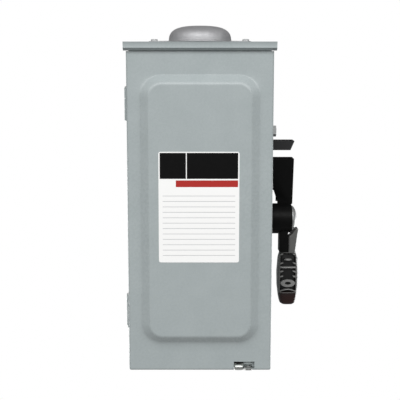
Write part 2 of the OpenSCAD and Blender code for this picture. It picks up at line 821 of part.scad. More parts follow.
// Domed cap that closes the hub
pivot_cap_r = 0.86 * handle_hub_r;
pivot_cap_h = 0.36 * handle_hub_r;
module pivot_cap() color(bare_metal) translate([lever_x, handle_y, axis_z]) along_x() rotate_extrude()
    polygon(concat([[0, 0]], [for (a = [0 : 15 : 75]) [pivot_cap_r * cos(a), pivot_cap_h * sin(a)]],
        [[0, pivot_cap_h]]));

// Crank on the shaft, between the frame's plates
crank_x1 = frame_in - frame_t - pass_gap;
crank_t = shaft_r;
crank_r = shaft_r * 5 / 3;
crank_l = 3.5 * shaft_r;
module drive_crank() color(bare_metal) difference() {
    translate([crank_x1 - crank_t, handle_y, axis_z])
        rotate([90, 0, 90])
            linear_extrude(crank_t)
                polygon(concat(arc_pts([0, 0], crank_r, 0, 180),
                    arc_pts([0, journal_r - crank_l], journal_r, 180, 360)));
    handle_bar(crank_x1 - crank_t - over, crank_x1 + over, shaft_r + run_fit);
    translate([crank_x1 - crank_t - over, handle_y, axis_z + journal_r - crank_l])
        along_x()
            cylinder(r = screw_r, h = crank_t + 2 * over);
}

// Coiled spring round the shaft, as a swept ring
wire = shaft_r / 5;
coil_r = shaft_r + wire + pass_gap;
coil_turns = 3;
coil_steps = 16;
coil_x0 = frame_inner_x + frame_t + wire + pass_gap;
coil_pitch = (crank_x1 - crank_t - wire - pass_gap - coil_x0) / coil_turns;
function coil_ring(i) = let (a = 360 * i / coil_steps) [
    for (b = [0 : 45 : 315]) let (r = coil_r + wire * cos(b))
    [coil_x0 + coil_pitch * i / coil_steps + wire * sin(b), handle_y + r * cos(a), axis_z + r * sin(a)]];
module drive_spring() color(bare_metal)
    loft([for (i = [0 : coil_turns * coil_steps]) coil_ring(i)]);

// Levels of the switch, measured from its axis
base_y = inner_y - base_t;
base_x0 = pole_mid - base_w / 2;
base_x1 = pole_mid + base_w / 2;
jaw_half = blade_t / 2 + set_fit;
jaw_h = blade_w * 7 / 8;
jaw_z = axis_z + blade_l - blade_w / 2;
jaw_front = axis_y - blade_w / 2;
lug_z = jaw_z + jaw_h + lug_h * 14 / 9;
line_z0 = jaw_z - jaw_h - base_t / 16;
line_z1 = lug_z + lug_h;
strap_y = base_y - jaw_t;
shield_z = jaw_z + jaw_h + 0.75 * blade_w;
hinge_jaw_low = axis_z - pivot_r - jaw_h;
fuse_top = hinge_jaw_low - jaw_t * 2 / 3;
fuse_end = fuse_top - fuse_l;
load_z = fuse_end - lug_h * 13 / 18;
fuse_z0 = load_z - lug_h * 5 / 6;
fuse_z1 = axis_z + 1.375 * blade_w;
screw_in = 1.5 * head_r;

module base_screw_places() {
    for (x = [base_x0 + screw_in, base_x1 - screw_in])
        for (z = [line_z0 + screw_in, line_z1 - screw_in, fuse_z0 + screw_in, fuse_z1 - screw_in])
            translate([x, 0, z])
                children();
}

// Moulded block on the back wall, with a raised barrier between the poles
barrier_t = base_t * 3 / 16;
barrier_h = base_t * 7 / 8;
module insulating_base(z0, z1) color(moulding) difference() {
    union() {
        box([base_x0, base_y, z0], [base_x1, inner_y, z1]);
        box([pole_mid - barrier_t / 2, base_y - barrier_h, z0],
            [pole_mid + barrier_t / 2, base_y + over, z1]);
    }
    base_screw_places()
        y_bar(0, 0, base_y - over, inner_y + over, screw_r + set_fit);
}
module line_base()
    insulating_base(line_z0, line_z1);
module fuse_base()
    insulating_base(fuse_z0, fuse_z1);

module base_screws() color(bare_metal)
    base_screw_places()
        y_screw(0, 0, base_y, inner_y);

// Pair of copper leaves that grip a blade on both sides, at height z
module jaw_leaves(x, z, h) {
    for (side = [-1, 1])
        translate([x + side * (jaw_half + jaw_t / 2) - jaw_t / 2, jaw_front, z - h / 2])
            cube([jaw_t, base_y - jaw_front, h]);
}
// Copper strap on the front of a base
module strap(x, z0, z1) {
    box([x - lug_w / 2, strap_y, z0], [x + lug_w / 2, base_y, z1]);
}

module line_jaws() color(copper)
    for (x = poles) {
        strap(x, jaw_z - jaw_h / 2, lug_z + lug_h / 2);
        jaw_leaves(x, jaw_z, jaw_h);
    }

module hinge_jaws() color(copper)
    for (x = poles)
        difference() {
            union() {
                strap(x, hinge_jaw_low, axis_z + blade_w / 2);
                jaw_leaves(x, axis_z, blade_w);
            }
            axis_bar(x - lug_w, x + lug_w, pivot_r + run_fit);
        }

module hinge_jaw_pins() color(bare_metal)
    for (x = poles) {
        out = jaw_half + jaw_t;
        axis_bar(x - out, x + out, pivot_r);
        for (x0 = [x - out - jaw_t, x + out])
            axis_bar(x0, x0 + jaw_t, pivot_r + jaw_t);
    }

// Wire lug on a seat, with its wire hole upright and its screw in front
wire_back = lug_w * 2 / 15;
module wire_lug(x, seat, z) {
    difference() {
        box([x - lug_w / 2, seat - lug_w, z - lug_h / 2], [x + lug_w / 2, seat, z + lug_h / 2]);
        translate([x, seat - wire_back - wire_r, z - lug_h])
            cylinder(r = wire_r, h = 2 * lug_h);
        y_bar(x, z, seat - lug_w - over, seat - wire_back - wire_r, lug_screw_r + run_fit);
    }
}
// Slotted set screw of a lug
slot_half = lug_screw_r / 6;
module wire_screw(x, seat, z) {
    front = seat - 1.2 * lug_w;
    difference() {
        y_bar(x, z, front, seat - wire_back / 2 - 2 * wire_r, lug_screw_r);
        box([x - 2 * lug_screw_r, front - over, z - slot_half],
            [x + 2 * lug_screw_r, front + 3 * slot_half, z + slot_half]);
    }
}
module line_lugs() color("silver")
    for (x = poles)
        wire_lug(x, strap_y, lug_z);
module line_lug_screws() color(bare_metal)
    for (x = poles)
        wire_screw(x, strap_y, lug_z);
module load_lugs() color("silver")
    for (x = poles)
        wire_lug(x, strap_y, load_z);
module load_lug_screws() color(bare_metal)
    for (x = poles)
        wire_screw(x, strap_y, load_z);

// Hood of insulating board round each line jaw
hood_half = 0.9 * lug_w;
hood_t = 0.8 * jaw_t;
hood_d = 0.92 * axis_d;
module arc_shields() color([0.55, 0.45, 0.35])
    for (x = poles) {
        for (side = [-1, 1])
            translate([x + side * hood_half - hood_t / 2, base_y - hood_d, line_z0])
                cube([hood_t, hood_d, shield_z - line_z0]);
        box([x - hood_half, base_y - hood_d, shield_z - hood_t],
            [x + hood_half, strap_y - pass_gap, shield_z]);
    }

// Clear cover in front of the line lugs, on a leg at each side
cover_t = sheet;
cover_d = 0.8 * axis_d;
cover_z = shield_z + jaw_t;
module line_shield() color([0.8, 0.85, 0.9, 0.4]) {
    box([base_x0, base_y - cover_d, cover_z], [base_x1, base_y - cover_d + cover_t, line_z1]);
    for (x = [base_x0, base_x1 - cover_t])
        box([x, base_y - cover_d, cover_z], [x + cover_t, base_y, line_z1]);
}

// Spring clip that holds a fuse ferrule, open to the front
clip_t = 0.8 * jaw_t;
clip_in = ferrule_r + set_fit / 2;
clip_h = 0.75 * ferrule_l;
fuse_y = strap_y - clip_in - clip_t;
module fuse_clip(x, z) {
    far = 3 * ferrule_r;
    translate([x, fuse_y, z - clip_h / 2])
        linear_extrude(clip_h)
            difference() {
                union() {
                    circle(r = clip_in + clip_t);
                    translate([-lug_w / 4, clip_in - clip_t])
                        square([lug_w / 2, 2 * clip_t]);
                }
                circle(r = clip_in);
                polygon([[0, 0], [-far, -far], [far, -far]]);
            }
}
module upper_fuse_clips() color(copper)
    for (x = poles) {
        fuse_clip(x, fuse_top - ferrule_l / 2);
        strap(x, fuse_top - ferrule_l, hinge_jaw_low);
    }
module lower_fuse_clips() color(copper)
    for (x = poles) {
        fuse_clip(x, fuse_end + ferrule_l / 2);
        strap(x, load_z - lug_h / 2, fuse_end + ferrule_l);
    }

ferrule_wall = ferrule_r / 12;
barrel_r = ferrule_r - ferrule_wall;
module fuse_barrels() color([0.75, 0.68, 0.5])
    for (x = poles)
        translate([x, fuse_y, fuse_end + ferrule_wall])
            cylinder(r = barrel_r, h = fuse_l - 2 * ferrule_wall);
module fuse_ferrules() color([0.78, 0.62, 0.35])
    for (x = poles, top = [0, 1])
        translate([x, fuse_y, fuse_end + top * fuse_l])
            mirror([0, 0, top])
                difference() {
                    cylinder(r = ferrule_r, h = ferrule_l);
                    translate([0, 0, ferrule_wall])
                        cylinder(r = barrel_r + run_fit, h = ferrule_l);
                }

// Ground lug and neutral bar in the gutter beside the fuses, the bar on its insulator above the lug
ground_x = (base_x1 + inner_x) / 2;
module ground_lug() color("silver")
    wire_lug(ground_x, inner_y, load_z);
module ground_screw() color([0.2, 0.5, 0.3])
    wire_screw(ground_x, inner_y, load_z);

neutral_side = lug_w * 2 / 3;
neutral_gap = lug_h / 5;
neutral_seat = inner_y - neutral_side;
neutral_front = neutral_seat - neutral_side;
neutral_z0 = load_z + lug_h / 2 + neutral_gap;
neutral_z1 = axis_z - frame_half - neutral_gap;
neutral_ways = 4;
neutral_screw_z = [for (i = [1 : neutral_ways])
    neutral_z0 + (neutral_z1 - neutral_z0) * i / (neutral_ways + 1)];
neutral_hole_y = neutral_seat - 0.4 * neutral_side;
module neutral_insulator() color([0.85, 0.84, 0.8])
    box([ground_x - 0.7 * neutral_side, neutral_seat, neutral_z0],
        [ground_x + 0.7 * neutral_side, inner_y, neutral_z1]);
module neutral_bar() color("silver") difference() {
    box([ground_x - neutral_side / 2, neutral_front, neutral_z0 + neutral_gap],
        [ground_x + neutral_side / 2, neutral_seat, neutral_z1 - neutral_gap]);
    for (z = neutral_screw_z) {
        translate([ground_x - neutral_side, neutral_hole_y, z])
            along_x()
                cylinder(r = neutral_side / 4, h = 2 * neutral_side);
        y_bar(ground_x, z, neutral_front - over, neutral_hole_y, screw_r + run_fit);
    }
}
module neutral_screws() color(bare_metal)
    for (z = neutral_screw_z)
        y_screw(ground_x, z, neutral_front, neutral_hole_y - screw_r);

// Rotor parts are drawn upright on the axis and leaned forward to the OFF position
module on_rotor() {
    translate([0, axis_y, axis_z])
        rotate([blade_lean, 0, 0])
            children();
}
bar_x0 = poles[0] - 0.75 * blade_w;
bar_x1 = frame_inner_x - shaft_r;
bar_d = 1.5 * blade_w;
module crossbar() color([0.45, 0.12, 0.1]) on_rotor() difference() {
    box([bar_x0, -bar_d / 2, bar_reach - bar_side / 2], [bar_x1, bar_d / 2, bar_reach + bar_side / 2]);
    for (x = poles)
        box([x - blade_t / 2 - run_fit, -blade_w / 2 - set_fit, 0],
            [x + blade_t / 2 + run_fit, blade_w / 2 + set_fit, blade_l]);
}

module moving_blades() color(copper) on_rotor()
    for (x = poles)
        translate([x - blade_t / 2, 0, 0])
            rotate([90, 0, 90])
                linear_extrude(blade_t)
                    difference() {
                        polygon(concat(arc_pts([0, 0], blade_w / 2, 180, 360),
                            arc_pts([blade_w / 4, blade_l - blade_w / 4], blade_w / 4, 0, 90),
                            arc_pts([-blade_w / 4, blade_l - blade_w / 4], blade_w / 4, 90, 180)));
                        circle(r = pivot_r + run_fit);
                    }

crank_plate = blade_w / 4;
module rotor_crank() color(bare_metal) on_rotor() {
    translate([bar_x1, 0, 0])
        rotate([90, 0, 90])
            linear_extrude(crank_plate)
                polygon(concat(arc_pts([0, 0], journal_r + crank_plate, 180, 360),
                    [[bar_d / 2, bar_reach + bar_side / 2], [-bar_d / 2, bar_reach + bar_side / 2]]));
    translate([bar_x1 + crank_plate, 0, 0])
        along_x()
            cylinder(r = journal_r, h = frame_inner_x + 1.5 * frame_t - bar_x1 - crank_plate);
}

enclosure_wrap();
top_endwall();
bottom_endwall();
hub_gasket();
hub_cap();
hub_cap_screws();
hinge_case_leaves();
hinge_pins();
hasp_tab();
handle_bracket();
bracket_rivets();
shaft_bushing();
interlock_screw();
interlock_nut();
mechanism_frame();
frame_screws();
line_base();
line_jaws();
line_lugs();
line_lug_screws();
arc_shields();
line_shield();
fuse_base();
hinge_jaws();
hinge_jaw_pins();
upper_fuse_clips();
lower_fuse_clips();
fuse_barrels();
fuse_ferrules();
load_lugs();
load_lug_screws();
neutral_insulator();
neutral_bar();
neutral_screws();
ground_lug();
ground_screw();
base_screws();
door_panel();
hinge_door_leaves();
door_latch();
handle_lever();
handle_grip();
grip_rivets();
handle_shaft();
pivot_cap();
drive_crank();
drive_spring();
crossbar();
moving_blades();
rotor_crank();
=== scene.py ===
# %% [markdown]
# # A grey steel disconnect box, dressed in Blender
# The imported frame already holds every solid at its real size: case, door, handle, switch and fuses.
# This lesson adds what a camera sees: smooth pressed sheet metal, a moulded grip, a label and the finishes.
# The first three lines load the frame. Its box is kept.

# %% Load the frame
import json
import math

import bmesh
import bpy
import numpy as np
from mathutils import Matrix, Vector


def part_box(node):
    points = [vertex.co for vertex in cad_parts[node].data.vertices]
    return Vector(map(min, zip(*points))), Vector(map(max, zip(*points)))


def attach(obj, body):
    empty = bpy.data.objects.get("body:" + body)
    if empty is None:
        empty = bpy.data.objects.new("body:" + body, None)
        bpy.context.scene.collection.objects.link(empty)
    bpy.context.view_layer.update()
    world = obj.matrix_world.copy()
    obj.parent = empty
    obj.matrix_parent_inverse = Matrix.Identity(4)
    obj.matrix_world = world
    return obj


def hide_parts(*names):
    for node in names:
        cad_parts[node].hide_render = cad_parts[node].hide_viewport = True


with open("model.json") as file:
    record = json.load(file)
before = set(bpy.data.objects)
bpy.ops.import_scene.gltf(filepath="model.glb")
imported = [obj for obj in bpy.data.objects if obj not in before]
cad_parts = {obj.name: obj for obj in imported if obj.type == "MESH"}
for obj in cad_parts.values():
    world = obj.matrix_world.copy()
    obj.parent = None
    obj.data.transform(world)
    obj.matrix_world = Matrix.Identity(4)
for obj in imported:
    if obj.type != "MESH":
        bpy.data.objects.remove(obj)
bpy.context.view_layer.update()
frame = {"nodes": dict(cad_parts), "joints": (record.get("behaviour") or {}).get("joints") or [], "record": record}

MM = 0.001


def box_of(node):
    """Lowest and highest corner of a CAD node as two arrays."""
    low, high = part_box(node)
    return np.array(low), np.array(high)


# %% [markdown]
# ## From arrays to pieces
# A piece is an array of points and an array of corner numbers. A grid of points P[u, v] becomes quads by
# index arithmetic on whole arrays. Normals are recalculated on each closed shell, so that every face points
# outwards. Several shells can share a piece: their points are stacked, and their corner numbers shifted.

# %% Mesh helpers
SHARP_ANGLE = math.radians(50)
SAME_POINT = 1e-7
AREA_WEIGHT = 80


def grid_quads(rows, columns):
    """Corner numbers of the quads between neighbours in a rows by columns grid, wrapped along each row."""
    number = np.arange(rows * columns).reshape(rows, columns)
    after = np.roll(number, -1, 1)
    return np.stack([number[:-1], after[:-1], after[1:], number[1:]], -1).reshape(-1, 4)


def make_piece(name, points, faces, body, slot, stands_for=(), smooth=True):
    """Closed mesh of an (n, 3) array in metres, riding on a CAD body; slot is not used."""
    mesh = bpy.data.meshes.new(name)
    corners = [[int(i) for i in face] for face in faces]
    mesh.from_pydata(np.asarray(points, float).reshape(-1, 3).tolist(), [], corners)
    shell = bmesh.new()
    shell.from_mesh(mesh)
    bmesh.ops.remove_doubles(shell, verts=shell.verts, dist=SAME_POINT)
    bmesh.ops.recalc_face_normals(shell, faces=shell.faces)
    shell.to_mesh(mesh)
    shell.free()
    mesh.polygons.foreach_set("use_smooth", np.full(len(mesh.polygons), smooth))
    mesh.set_sharp_from_angle(angle=SHARP_ANGLE)
    obj = bpy.data.objects.new(name, mesh)
    bpy.context.scene.collection.objects.link(obj)
    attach(obj, body)
    if stands_for:
        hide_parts(*stands_for)
    print(f"{name}: {len(mesh.polygons)} faces on {body}")
    return obj


def capped_rings(rings):
    """Points and faces of a skin through rings of equal length, closed by a flat face at each end."""
    rings = np.asarray(rings, float)
    count, n = rings.shape[:2]
    faces = grid_quads(count, n).tolist()
    faces.append(list(range(n)))
    faces.append(list(range((count - 1) * n, count * n)))
    return rings.reshape(-1, 3), faces


def joined(*shells):
    """Points and faces of several shells as one, with corner numbers shifted past the shells before."""
    points, faces, count = [], [], 0
    for shell_points, shell_faces in shells:
        points.append(shell_points)
        faces += [[i + count for i in face] for face in shell_faces]
        count += len(shell_points)
    return np.concatenate(points), faces


def corner_arcs(centres, r, steps):
    """Outline (x, z) of quarter rounds, each about its own centre and a quarter turn on from the last."""
    a = np.linspace(0, np.pi / 2, steps)
    arcs = []
    for quarter, (cx, cz) in enumerate(centres):
        angle = a + quarter * np.pi / 2
        arcs.append(np.stack([cx + r * np.cos(angle), cz + r * np.sin(angle)], 1))
    return np.concatenate(arcs)


def slab(outline, *depths):
    """Rings of an (x, z) outline at each depth y."""
    x, z = outline.T
    return np.stack([np.stack([x, np.full(len(x), y), z], 1) for y in depths])


def rounded_square(count, power):
    """Unit superellipse |x|^(2/p) + |y|^(2/p) = 1 with that many points."""
    a = np.linspace(0, 2 * np.pi, count, endpoint=False)
    c, s = np.cos(a), np.sin(a)
    return np.sign(c) * np.abs(c) ** power, np.sign(s) * np.abs(s) ** power


def even_normals(obj, keep_sharp):
    """Large flat faces keep their flat shading, and narrow bends shade smoothly."""
    weighted = obj.modifiers.new("even normals", "WEIGHTED_NORMAL")
    weighted.keep_sharp = keep_sharp
    weighted.weight = AREA_WEIGHT


# %% [markdown]
# ## The door
# The door is one pressed sheet: turned edges on three sides, a flat margin, and a raised panel. A press
# leaves a hollow that runs out softly at the foot of the panel and a round bend at its top, with a straight
# flank between them. The skin is a stack of rounded rectangles, one per step of that profile, on both sides.
# Quads in the latch notch, in the hasp window and above the sheared top edge are left out, and the bare edges
# are closed by a wall. A slope is given by its flank's angle, its bend's radius and the fades of its foot.

# %% Door skin
door_low, door_high = box_of("door_panel")
SHEET = 1.5 * MM
EDGE_R, CORNER_R, LEAST_R = 2.5 * MM, 2 * MM, 0.3 * MM
TOP_TRIM = EDGE_R + CORNER_R
PANEL_RISE, PANEL_R, FOOT_REACH = 8 * MM, 13 * MM, 13 * MM
SIDE_SLOPE = (math.radians(33), 5 * MM, [(0.7, 3.0 * MM), (0.3, 6.0 * MM)])
LOWER_SLOPE = (math.radians(36), 6 * MM, [(1.0, 4.2 * MM)])
UPPER_SLOPE = (math.radians(42), 8 * MM, [(1.0, 0.4 * MM)])
PANEL_SIDE, PANEL_ABOVE, PANEL_BELOW = 26.5 * MM, 38.0 * MM, 44.7 * MM
NOTCH_X = np.array([39.48, 51.0, 63.48]) * MM
STRIP_H, NOTCH_H, SIDE_MARGIN, EDGE_GAP = 2.9 * MM, 10.5 * MM, 3.5 * MM, 0.4 * MM
CORNER_STEPS, EDGE_STEPS, BEND_STEPS, FOOT_STEPS, CORNER_POWER = 12, 8, 10, 22, 4
door_face_y = door_low[1] + PANEL_RISE


def panel_side(angle, bend_r, fades):
    """(inwards, outwards) steps of the panel's side: a foot whose tilt at distance d from the flank is the
    angle times a sum of shares exp(-d / fade), the straight flank, and a round bend r (sin a, cos a) up to
    the panel at (0, rise)."""
    d = FOOT_REACH * np.linspace(1, 0, FOOT_STEPS) ** 2
    tilt = angle * sum(share * np.exp(-d / fade) for share, fade in fades)
    rise = np.concatenate([[0], np.cumsum(np.tan((tilt[1:] + tilt[:-1]) / 2) * -np.diff(d))])
    a = np.linspace(angle, 0, BEND_STEPS)
    bend = bend_r * np.stack([-np.sin(a), np.cos(a) - 1], 1)
    flank = (PANEL_RISE - rise[-1] + bend[0, 1]) / math.tan(angle)
    foot = np.stack([bend[0, 0] - flank - d, rise], 1)
    return np.concatenate([foot, bend + [0, PANEL_RISE]])


def panel_steps():
    """Steps inwards to the panel's edge at 0, to the micrometre, and at each of them the rise of the sides,
    the lower slope and the upper slope."""
    slopes = [panel_side(*slope) for slope in (SIDE_SLOPE, LOWER_SLOPE, UPPER_SLOPE)]
    inwards = np.unique(np.concatenate([slope[:, 0] for slope in slopes]).round(6))
    inwards = inwards[inwards > SIDE_MARGIN + EDGE_GAP - PANEL_SIDE]
    return inwards, [np.interp(inwards, *slope.T) for slope in slopes]


def door_profile(skin):
    """Rows of four insets (side, below, above, radius) and three depths (side, below, above), from the turned
    edge to the panel, on the skin drawn in by skin."""
    a = np.linspace(0, np.pi / 2, EDGE_STEPS)
    bend = EDGE_R - skin
    inset = np.concatenate([[skin], skin + bend * (1 - np.cos(a)), [STRIP_H, NOTCH_H]])
    y = door_face_y + skin + np.concatenate([[0], bend * (1 - np.sin(a)), [0, 0]])
    y[0] = door_high[1]
    side = np.minimum(inset, SIDE_MARGIN)
    margin = np.stack([side, inset, inset, np.maximum(CORNER_R - inset, LEAST_R), y, y, y], 1)
    inwards, rises = panel_steps()
    slope = np.stack([PANEL_SIDE + inwards, PANEL_BELOW + inwards, PANEL_ABOVE + TOP_TRIM + inwards,
                      PANEL_R - inwards, *(door_face_y + skin - rise for rise in rises)], 1)
    return np.concatenate([margin, slope])


def door_rings(profile):
    """Rounded rectangles, anticlockwise from the front, with three stops on the bottom edge for the openings.
    Round a corner the depth goes from the side's to the upper or lower slope's with a power of the angle's
    sine."""
    side, below, above, r, y_side, y_below, y_above = (profile[:, k, None] for k in range(7))
    x0, x1 = door_low[0] + side, door_high[0] - side
    z0, z1 = door_low[2] + below, door_high[2] + TOP_TRIM - above
    a = np.linspace(0, np.pi / 2, CORNER_STEPS)[None, :]
    centres = [(x1 - r, z1 - r), (x0 + r, z1 - r), (x0 + r, z0 + r), (x1 - r, z0 + r)]
    corners = []
    for quarter, (cx, cz) in enumerate(centres):
        angle = a + quarter * np.pi / 2
        y = y_side + ((y_above if quarter < 2 else y_below) - y_side) * np.sin(angle) ** CORNER_POWER
        corners.append(np.stack([cx + r * np.cos(angle), y, cz + r * np.sin(angle)], -1))
    share = (NOTCH_X - door_low[0]) / (door_high[0] - door_low[0])
    x = np.where(below > NOTCH_H + SAME_POINT, x0 + r + share * (x1 - x0 - 2 * r), NOTCH_X)
    stops = np.stack([x, np.broadcast_to(y_below, x.shape), np.broadcast_to(z0, x.shape)], -1)
    return np.concatenate([corners[0], corners[1], corners[2], stops, corners[3]], 1)


def walled_skins(outer, inner, keep):
    """Faces of two skins over one grid, with the quads in keep, joined by a wall along every bare edge."""
    rows, n = outer.shape[:2]
    quads = grid_quads(rows, n)[keep.ravel()]
    offset = rows * n
    faces = quads.tolist() + (quads + offset).tolist()
    number = np.arange(offset).reshape(rows, n)
    closed_top = np.ones((1, n), bool)
    below = np.concatenate([np.zeros((1, n), bool), keep])
    above = np.concatenate([keep, closed_top])
    along = below != above
    after = np.roll(number, -1, 1)
    faces += np.stack([number, after, after + offset, number + offset], -1)[along].tolist()
    across = keep != np.roll(keep, 1, 1)
    low, high = number[:-1], number[1:]
    faces += np.stack([low, high, high + offset, low + offset], -1)[across].tolist()
    faces += [number[-1].tolist(), (number[-1] + offset).tolist()]
    return np.concatenate([outer.reshape(-1, 3), inner.reshape(-1, 3)]), faces


def door_skin():
    """Outer and inner skins of the door, cut off level at its top and open at the notch and the window."""
    outer, inner = door_rings(door_profile(0.0)), door_rings(door_profile(SHEET))
    cut = outer[:, :, 2] > door_high[2] - SAME_POINT
    for skin in (outer, inner):
        skin[:, :, 2] = np.minimum(skin[:, :, 2], door_high[2])
    cut_pair = cut & np.roll(cut, -1, 1)
    keep = ~(cut_pair[:-1] & cut_pair[1:])
    latch_column, strip_row = 3 * CORNER_STEPS, EDGE_STEPS + 1
    keep[:strip_row + 1, latch_column] = False
    keep[strip_row, latch_column + 1] = False
    return walled_skins(outer, inner, keep)


door = make_piece("door_skin", *door_skin(), body="door", slot="paint_grey", stands_for=["door_panel"])
even_normals(door, keep_sharp=True)

# %% [markdown]
# ## The closing dome
# A die-cast cap closes the conduit hole on top. Its section is a superellipse, (r / R)^3 + (h / H)^3 = 1:
# upright at the rim, full at the shoulder and nearly flat on top. Its plate has an ear at each side, found as
# a radius by angle.

# %% Dome and plate
cap_low, cap_high = box_of("hub_cap")
dome_centre = (cap_low + cap_high) / 2
DOME_R, DOME_POWER, PLATE_T = 36.5 * MM, 3.0, 1.6 * MM
EAR_X, EAR_R, PLATE_R = 53.5 * MM, 6.4 * MM, 38.1 * MM
DOME_FILLET, FILLET_FROM, FILLET_TO, FILLET_STEPS = 1.2 * MM, 270, 190, 6
PLATE_EASE, DOME_HOLE = 0.7 * MM, 0.5 * MM
TURN_STEPS, DOME_STEPS = 128, 40
TURN = np.linspace(0, 2 * np.pi, TURN_STEPS, endpoint=False)


def plate_radius(angle):
    """Distance to the plate's outline along each angle: the largest of a disc, a diamond web and two ears."""
    c, s = np.abs(np.cos(angle)), np.abs(np.sin(angle))
    web_y0, web_y1 = DOME_R - EAR_R, EAR_R
    slope = (web_y0 - web_y1) / EAR_X
    web = np.minimum(web_y0 / (s + slope * c), EAR_X / np.maximum(c, SAME_POINT))
    reach = EAR_R ** 2 - (EAR_X * s) ** 2
    ear = np.where(reach > 0, EAR_X * c + np.sqrt(np.maximum(reach, 0)), 0)
    return np.maximum(np.maximum(PLATE_R, web), ear)


def dome_profile():
    """Half section (radius, height): a fillet up from the plate, then the superellipse to the top."""
    z0, z1 = cap_low[2] + PLATE_T, cap_high[2]
    a = np.radians(np.linspace(FILLET_FROM, FILLET_TO, FILLET_STEPS))
    foot = np.stack([DOME_R + DOME_FILLET * (1 + np.cos(a)), z0 + DOME_FILLET * (1 + np.sin(a))], 1)
    b = np.linspace(0, np.pi / 2, DOME_STEPS)
    r = DOME_R * np.cos(b) ** (2 / DOME_POWER)
    z = cap_low[2] + (z1 - cap_low[2]) * np.sin(b) ** (2 / DOME_POWER)
    clear = (z > z0 + DOME_FILLET) & (r > DOME_HOLE)
    return np.concatenate([foot, np.stack([r, z], 1)[clear]])


def upright_rings(radii, heights):
    """Rings round the dome's axis from the radii, by ring and angle, and the height of each ring."""
    x = dome_centre[0] + radii * np.cos(TURN)
    y = dome_centre[1] + radii * np.sin(TURN)
    return np.stack([x, y, np.broadcast_to(np.array(heights)[:, None], x.shape)], -1)


def dome_with_plate():
    """Plate rings from the seat up, with eased edges, then the dome's rings, closed below and on top."""
    z0, z1 = cap_low[2], cap_low[2] + PLATE_T
    near = 0.3 * PLATE_EASE
    insets = np.array([PLATE_EASE, 0, 0, near, PLATE_EASE])
    plate = upright_rings(plate_radius(TURN) - insets[:, None],
                          [z0, z0 + PLATE_EASE / 2, z1 - PLATE_EASE, z1 - near, z1])
    radius, height = dome_profile().T
    return capped_rings(np.concatenate([plate, upright_rings(radius[:, None], height)]))


dome = make_piece("closing_dome", *dome_with_plate(), body="case", slot="dome_metal", stands_for=["hub_cap"])
even_normals(dome, keep_sharp=True)

# %% [markdown]
# ## The latch
# A spring strip inside the door ends in a fat roll that shows in the notch. The roll's radius falls off
# towards its ends as R (1 - |t|^4)^(1/4), so that it looks rolled and not sawn.

# %% Latch roll and strip
latch_low, latch_high = box_of("door_latch")
ROLL_R, ROLL_POWER, ROLL_LEAST, ROLL_ROWS, ROLL_COLUMNS = 3.78 * MM, 4, 1e-4, 41, 48
STRIP_T, STRIP_R, STRIP_STEPS = 0.75 * MM, 1.5 * MM, 6


def latch_roll():
    """Rings round the roll's axis along X, with the superellipse's radius at each."""
    t = np.sin(np.linspace(-np.pi / 2, np.pi / 2, ROLL_ROWS))
    r = ROLL_R * np.maximum(1 - np.abs(t) ** ROLL_POWER, ROLL_LEAST) ** (1 / ROLL_POWER)
    middle = (latch_low + latch_high) / 2
    a = np.linspace(0, 2 * np.pi, ROLL_COLUMNS, endpoint=False)
    x = middle[0] + t * (latch_high[0] - latch_low[0]) / 2
    y = latch_low[1] + ROLL_R + r[:, None] * np.cos(a)
    z = latch_low[2] + ROLL_R + r[:, None] * np.sin(a)
    return np.stack([np.broadcast_to(x[:, None], y.shape), y, z], -1)


def latch_strip():
    """Round-cornered strip from inside the roll up the door's inner face."""
    x0, x1 = latch_low[0], latch_high[0]
    z0, z1 = latch_low[2] + ROLL_R, latch_high[2]
    top = corner_arcs([(x1 - STRIP_R, z1 - STRIP_R), (x0 + STRIP_R, z1 - STRIP_R)], STRIP_R, STRIP_STEPS)
    y = door_face_y + SHEET
    return slab(np.concatenate([top, [[x0, z0], [x1, z0]]]), y, y + STRIP_T)


latch = make_piece("latch_spring", *joined(capped_rings(latch_roll()), capped_rings(latch_strip())),
                   body="door", slot="zinc_steel", stands_for=["door_latch"])

# %% [markdown]
# ## The drip lip
# The rain cap's front edge hangs down over the door and flares out like a gutter, so it is dull along the top
# and brightens downwards. The flare is a tilt that grows evenly with the depth: its slope is summed into a
# curve. At the foot the edge is folded back under, out of the light, which draws a dark line along the lip.

# %% Drip lip
lip_low, lip_high = box_of("top_endwall")
LIP_H, LIP_ROWS, LIP_FOLD_D, LIP_FOLD_H = 6.7 * MM, 24, 4.8 * MM, 3.0 * MM
LIP_TILT, LIP_PROUD = np.radians([-22.0, 8.0]), 0.1 * MM


def drip_lip():
    """Curve y(z) = y0 - sum of tan(tilt) dz down the lip, then a straight fold back and down, closed by a
    flat back and swept across the cap."""
    tilt = np.linspace(*LIP_TILT, LIP_ROWS)
    z = lip_high[2] - np.linspace(0, LIP_H, LIP_ROWS)
    y = -np.cumsum(np.tan(tilt)) * LIP_H / (LIP_ROWS - 1)
    y += lip_low[1] - LIP_PROUD - y.max()
    back = y[-1] + LIP_FOLD_D
    section = np.concatenate([np.stack([y, z], 1), [[back, z[-1] - LIP_FOLD_H], [back, z[0]]]])
    ends = np.array([lip_low[0], lip_high[0]])
    rings = np.stack([np.stack([np.full(len(section), x), section[:, 0], section[:, 1]], 1) for x in ends])
    return capped_rings(rings)


lip = make_piece("drip_lip", *drip_lip(), body="case", slot="paint_grey")

# %% [markdown]
# ## The guard's hem
# The black guard beside the handle ends in a hem, rolled down towards the handle's hub. Its section is a
# rounded square that shrinks to a blunt point at both ends.

# %% Guard hem
HEM_X, HEM_HALF_D, HEM_HALF_H = np.array([95.0, 110.5]) * MM, 1.0 * MM, 1.0 * MM
HEM_Y, HEM_Z, HEM_ROWS, HEM_COLUMNS = -58.0 * MM, -0.7 * MM, 24, 24
HEM_POWER, HEM_END_POWER, HEM_LEAST = 0.5, 8, 0.02


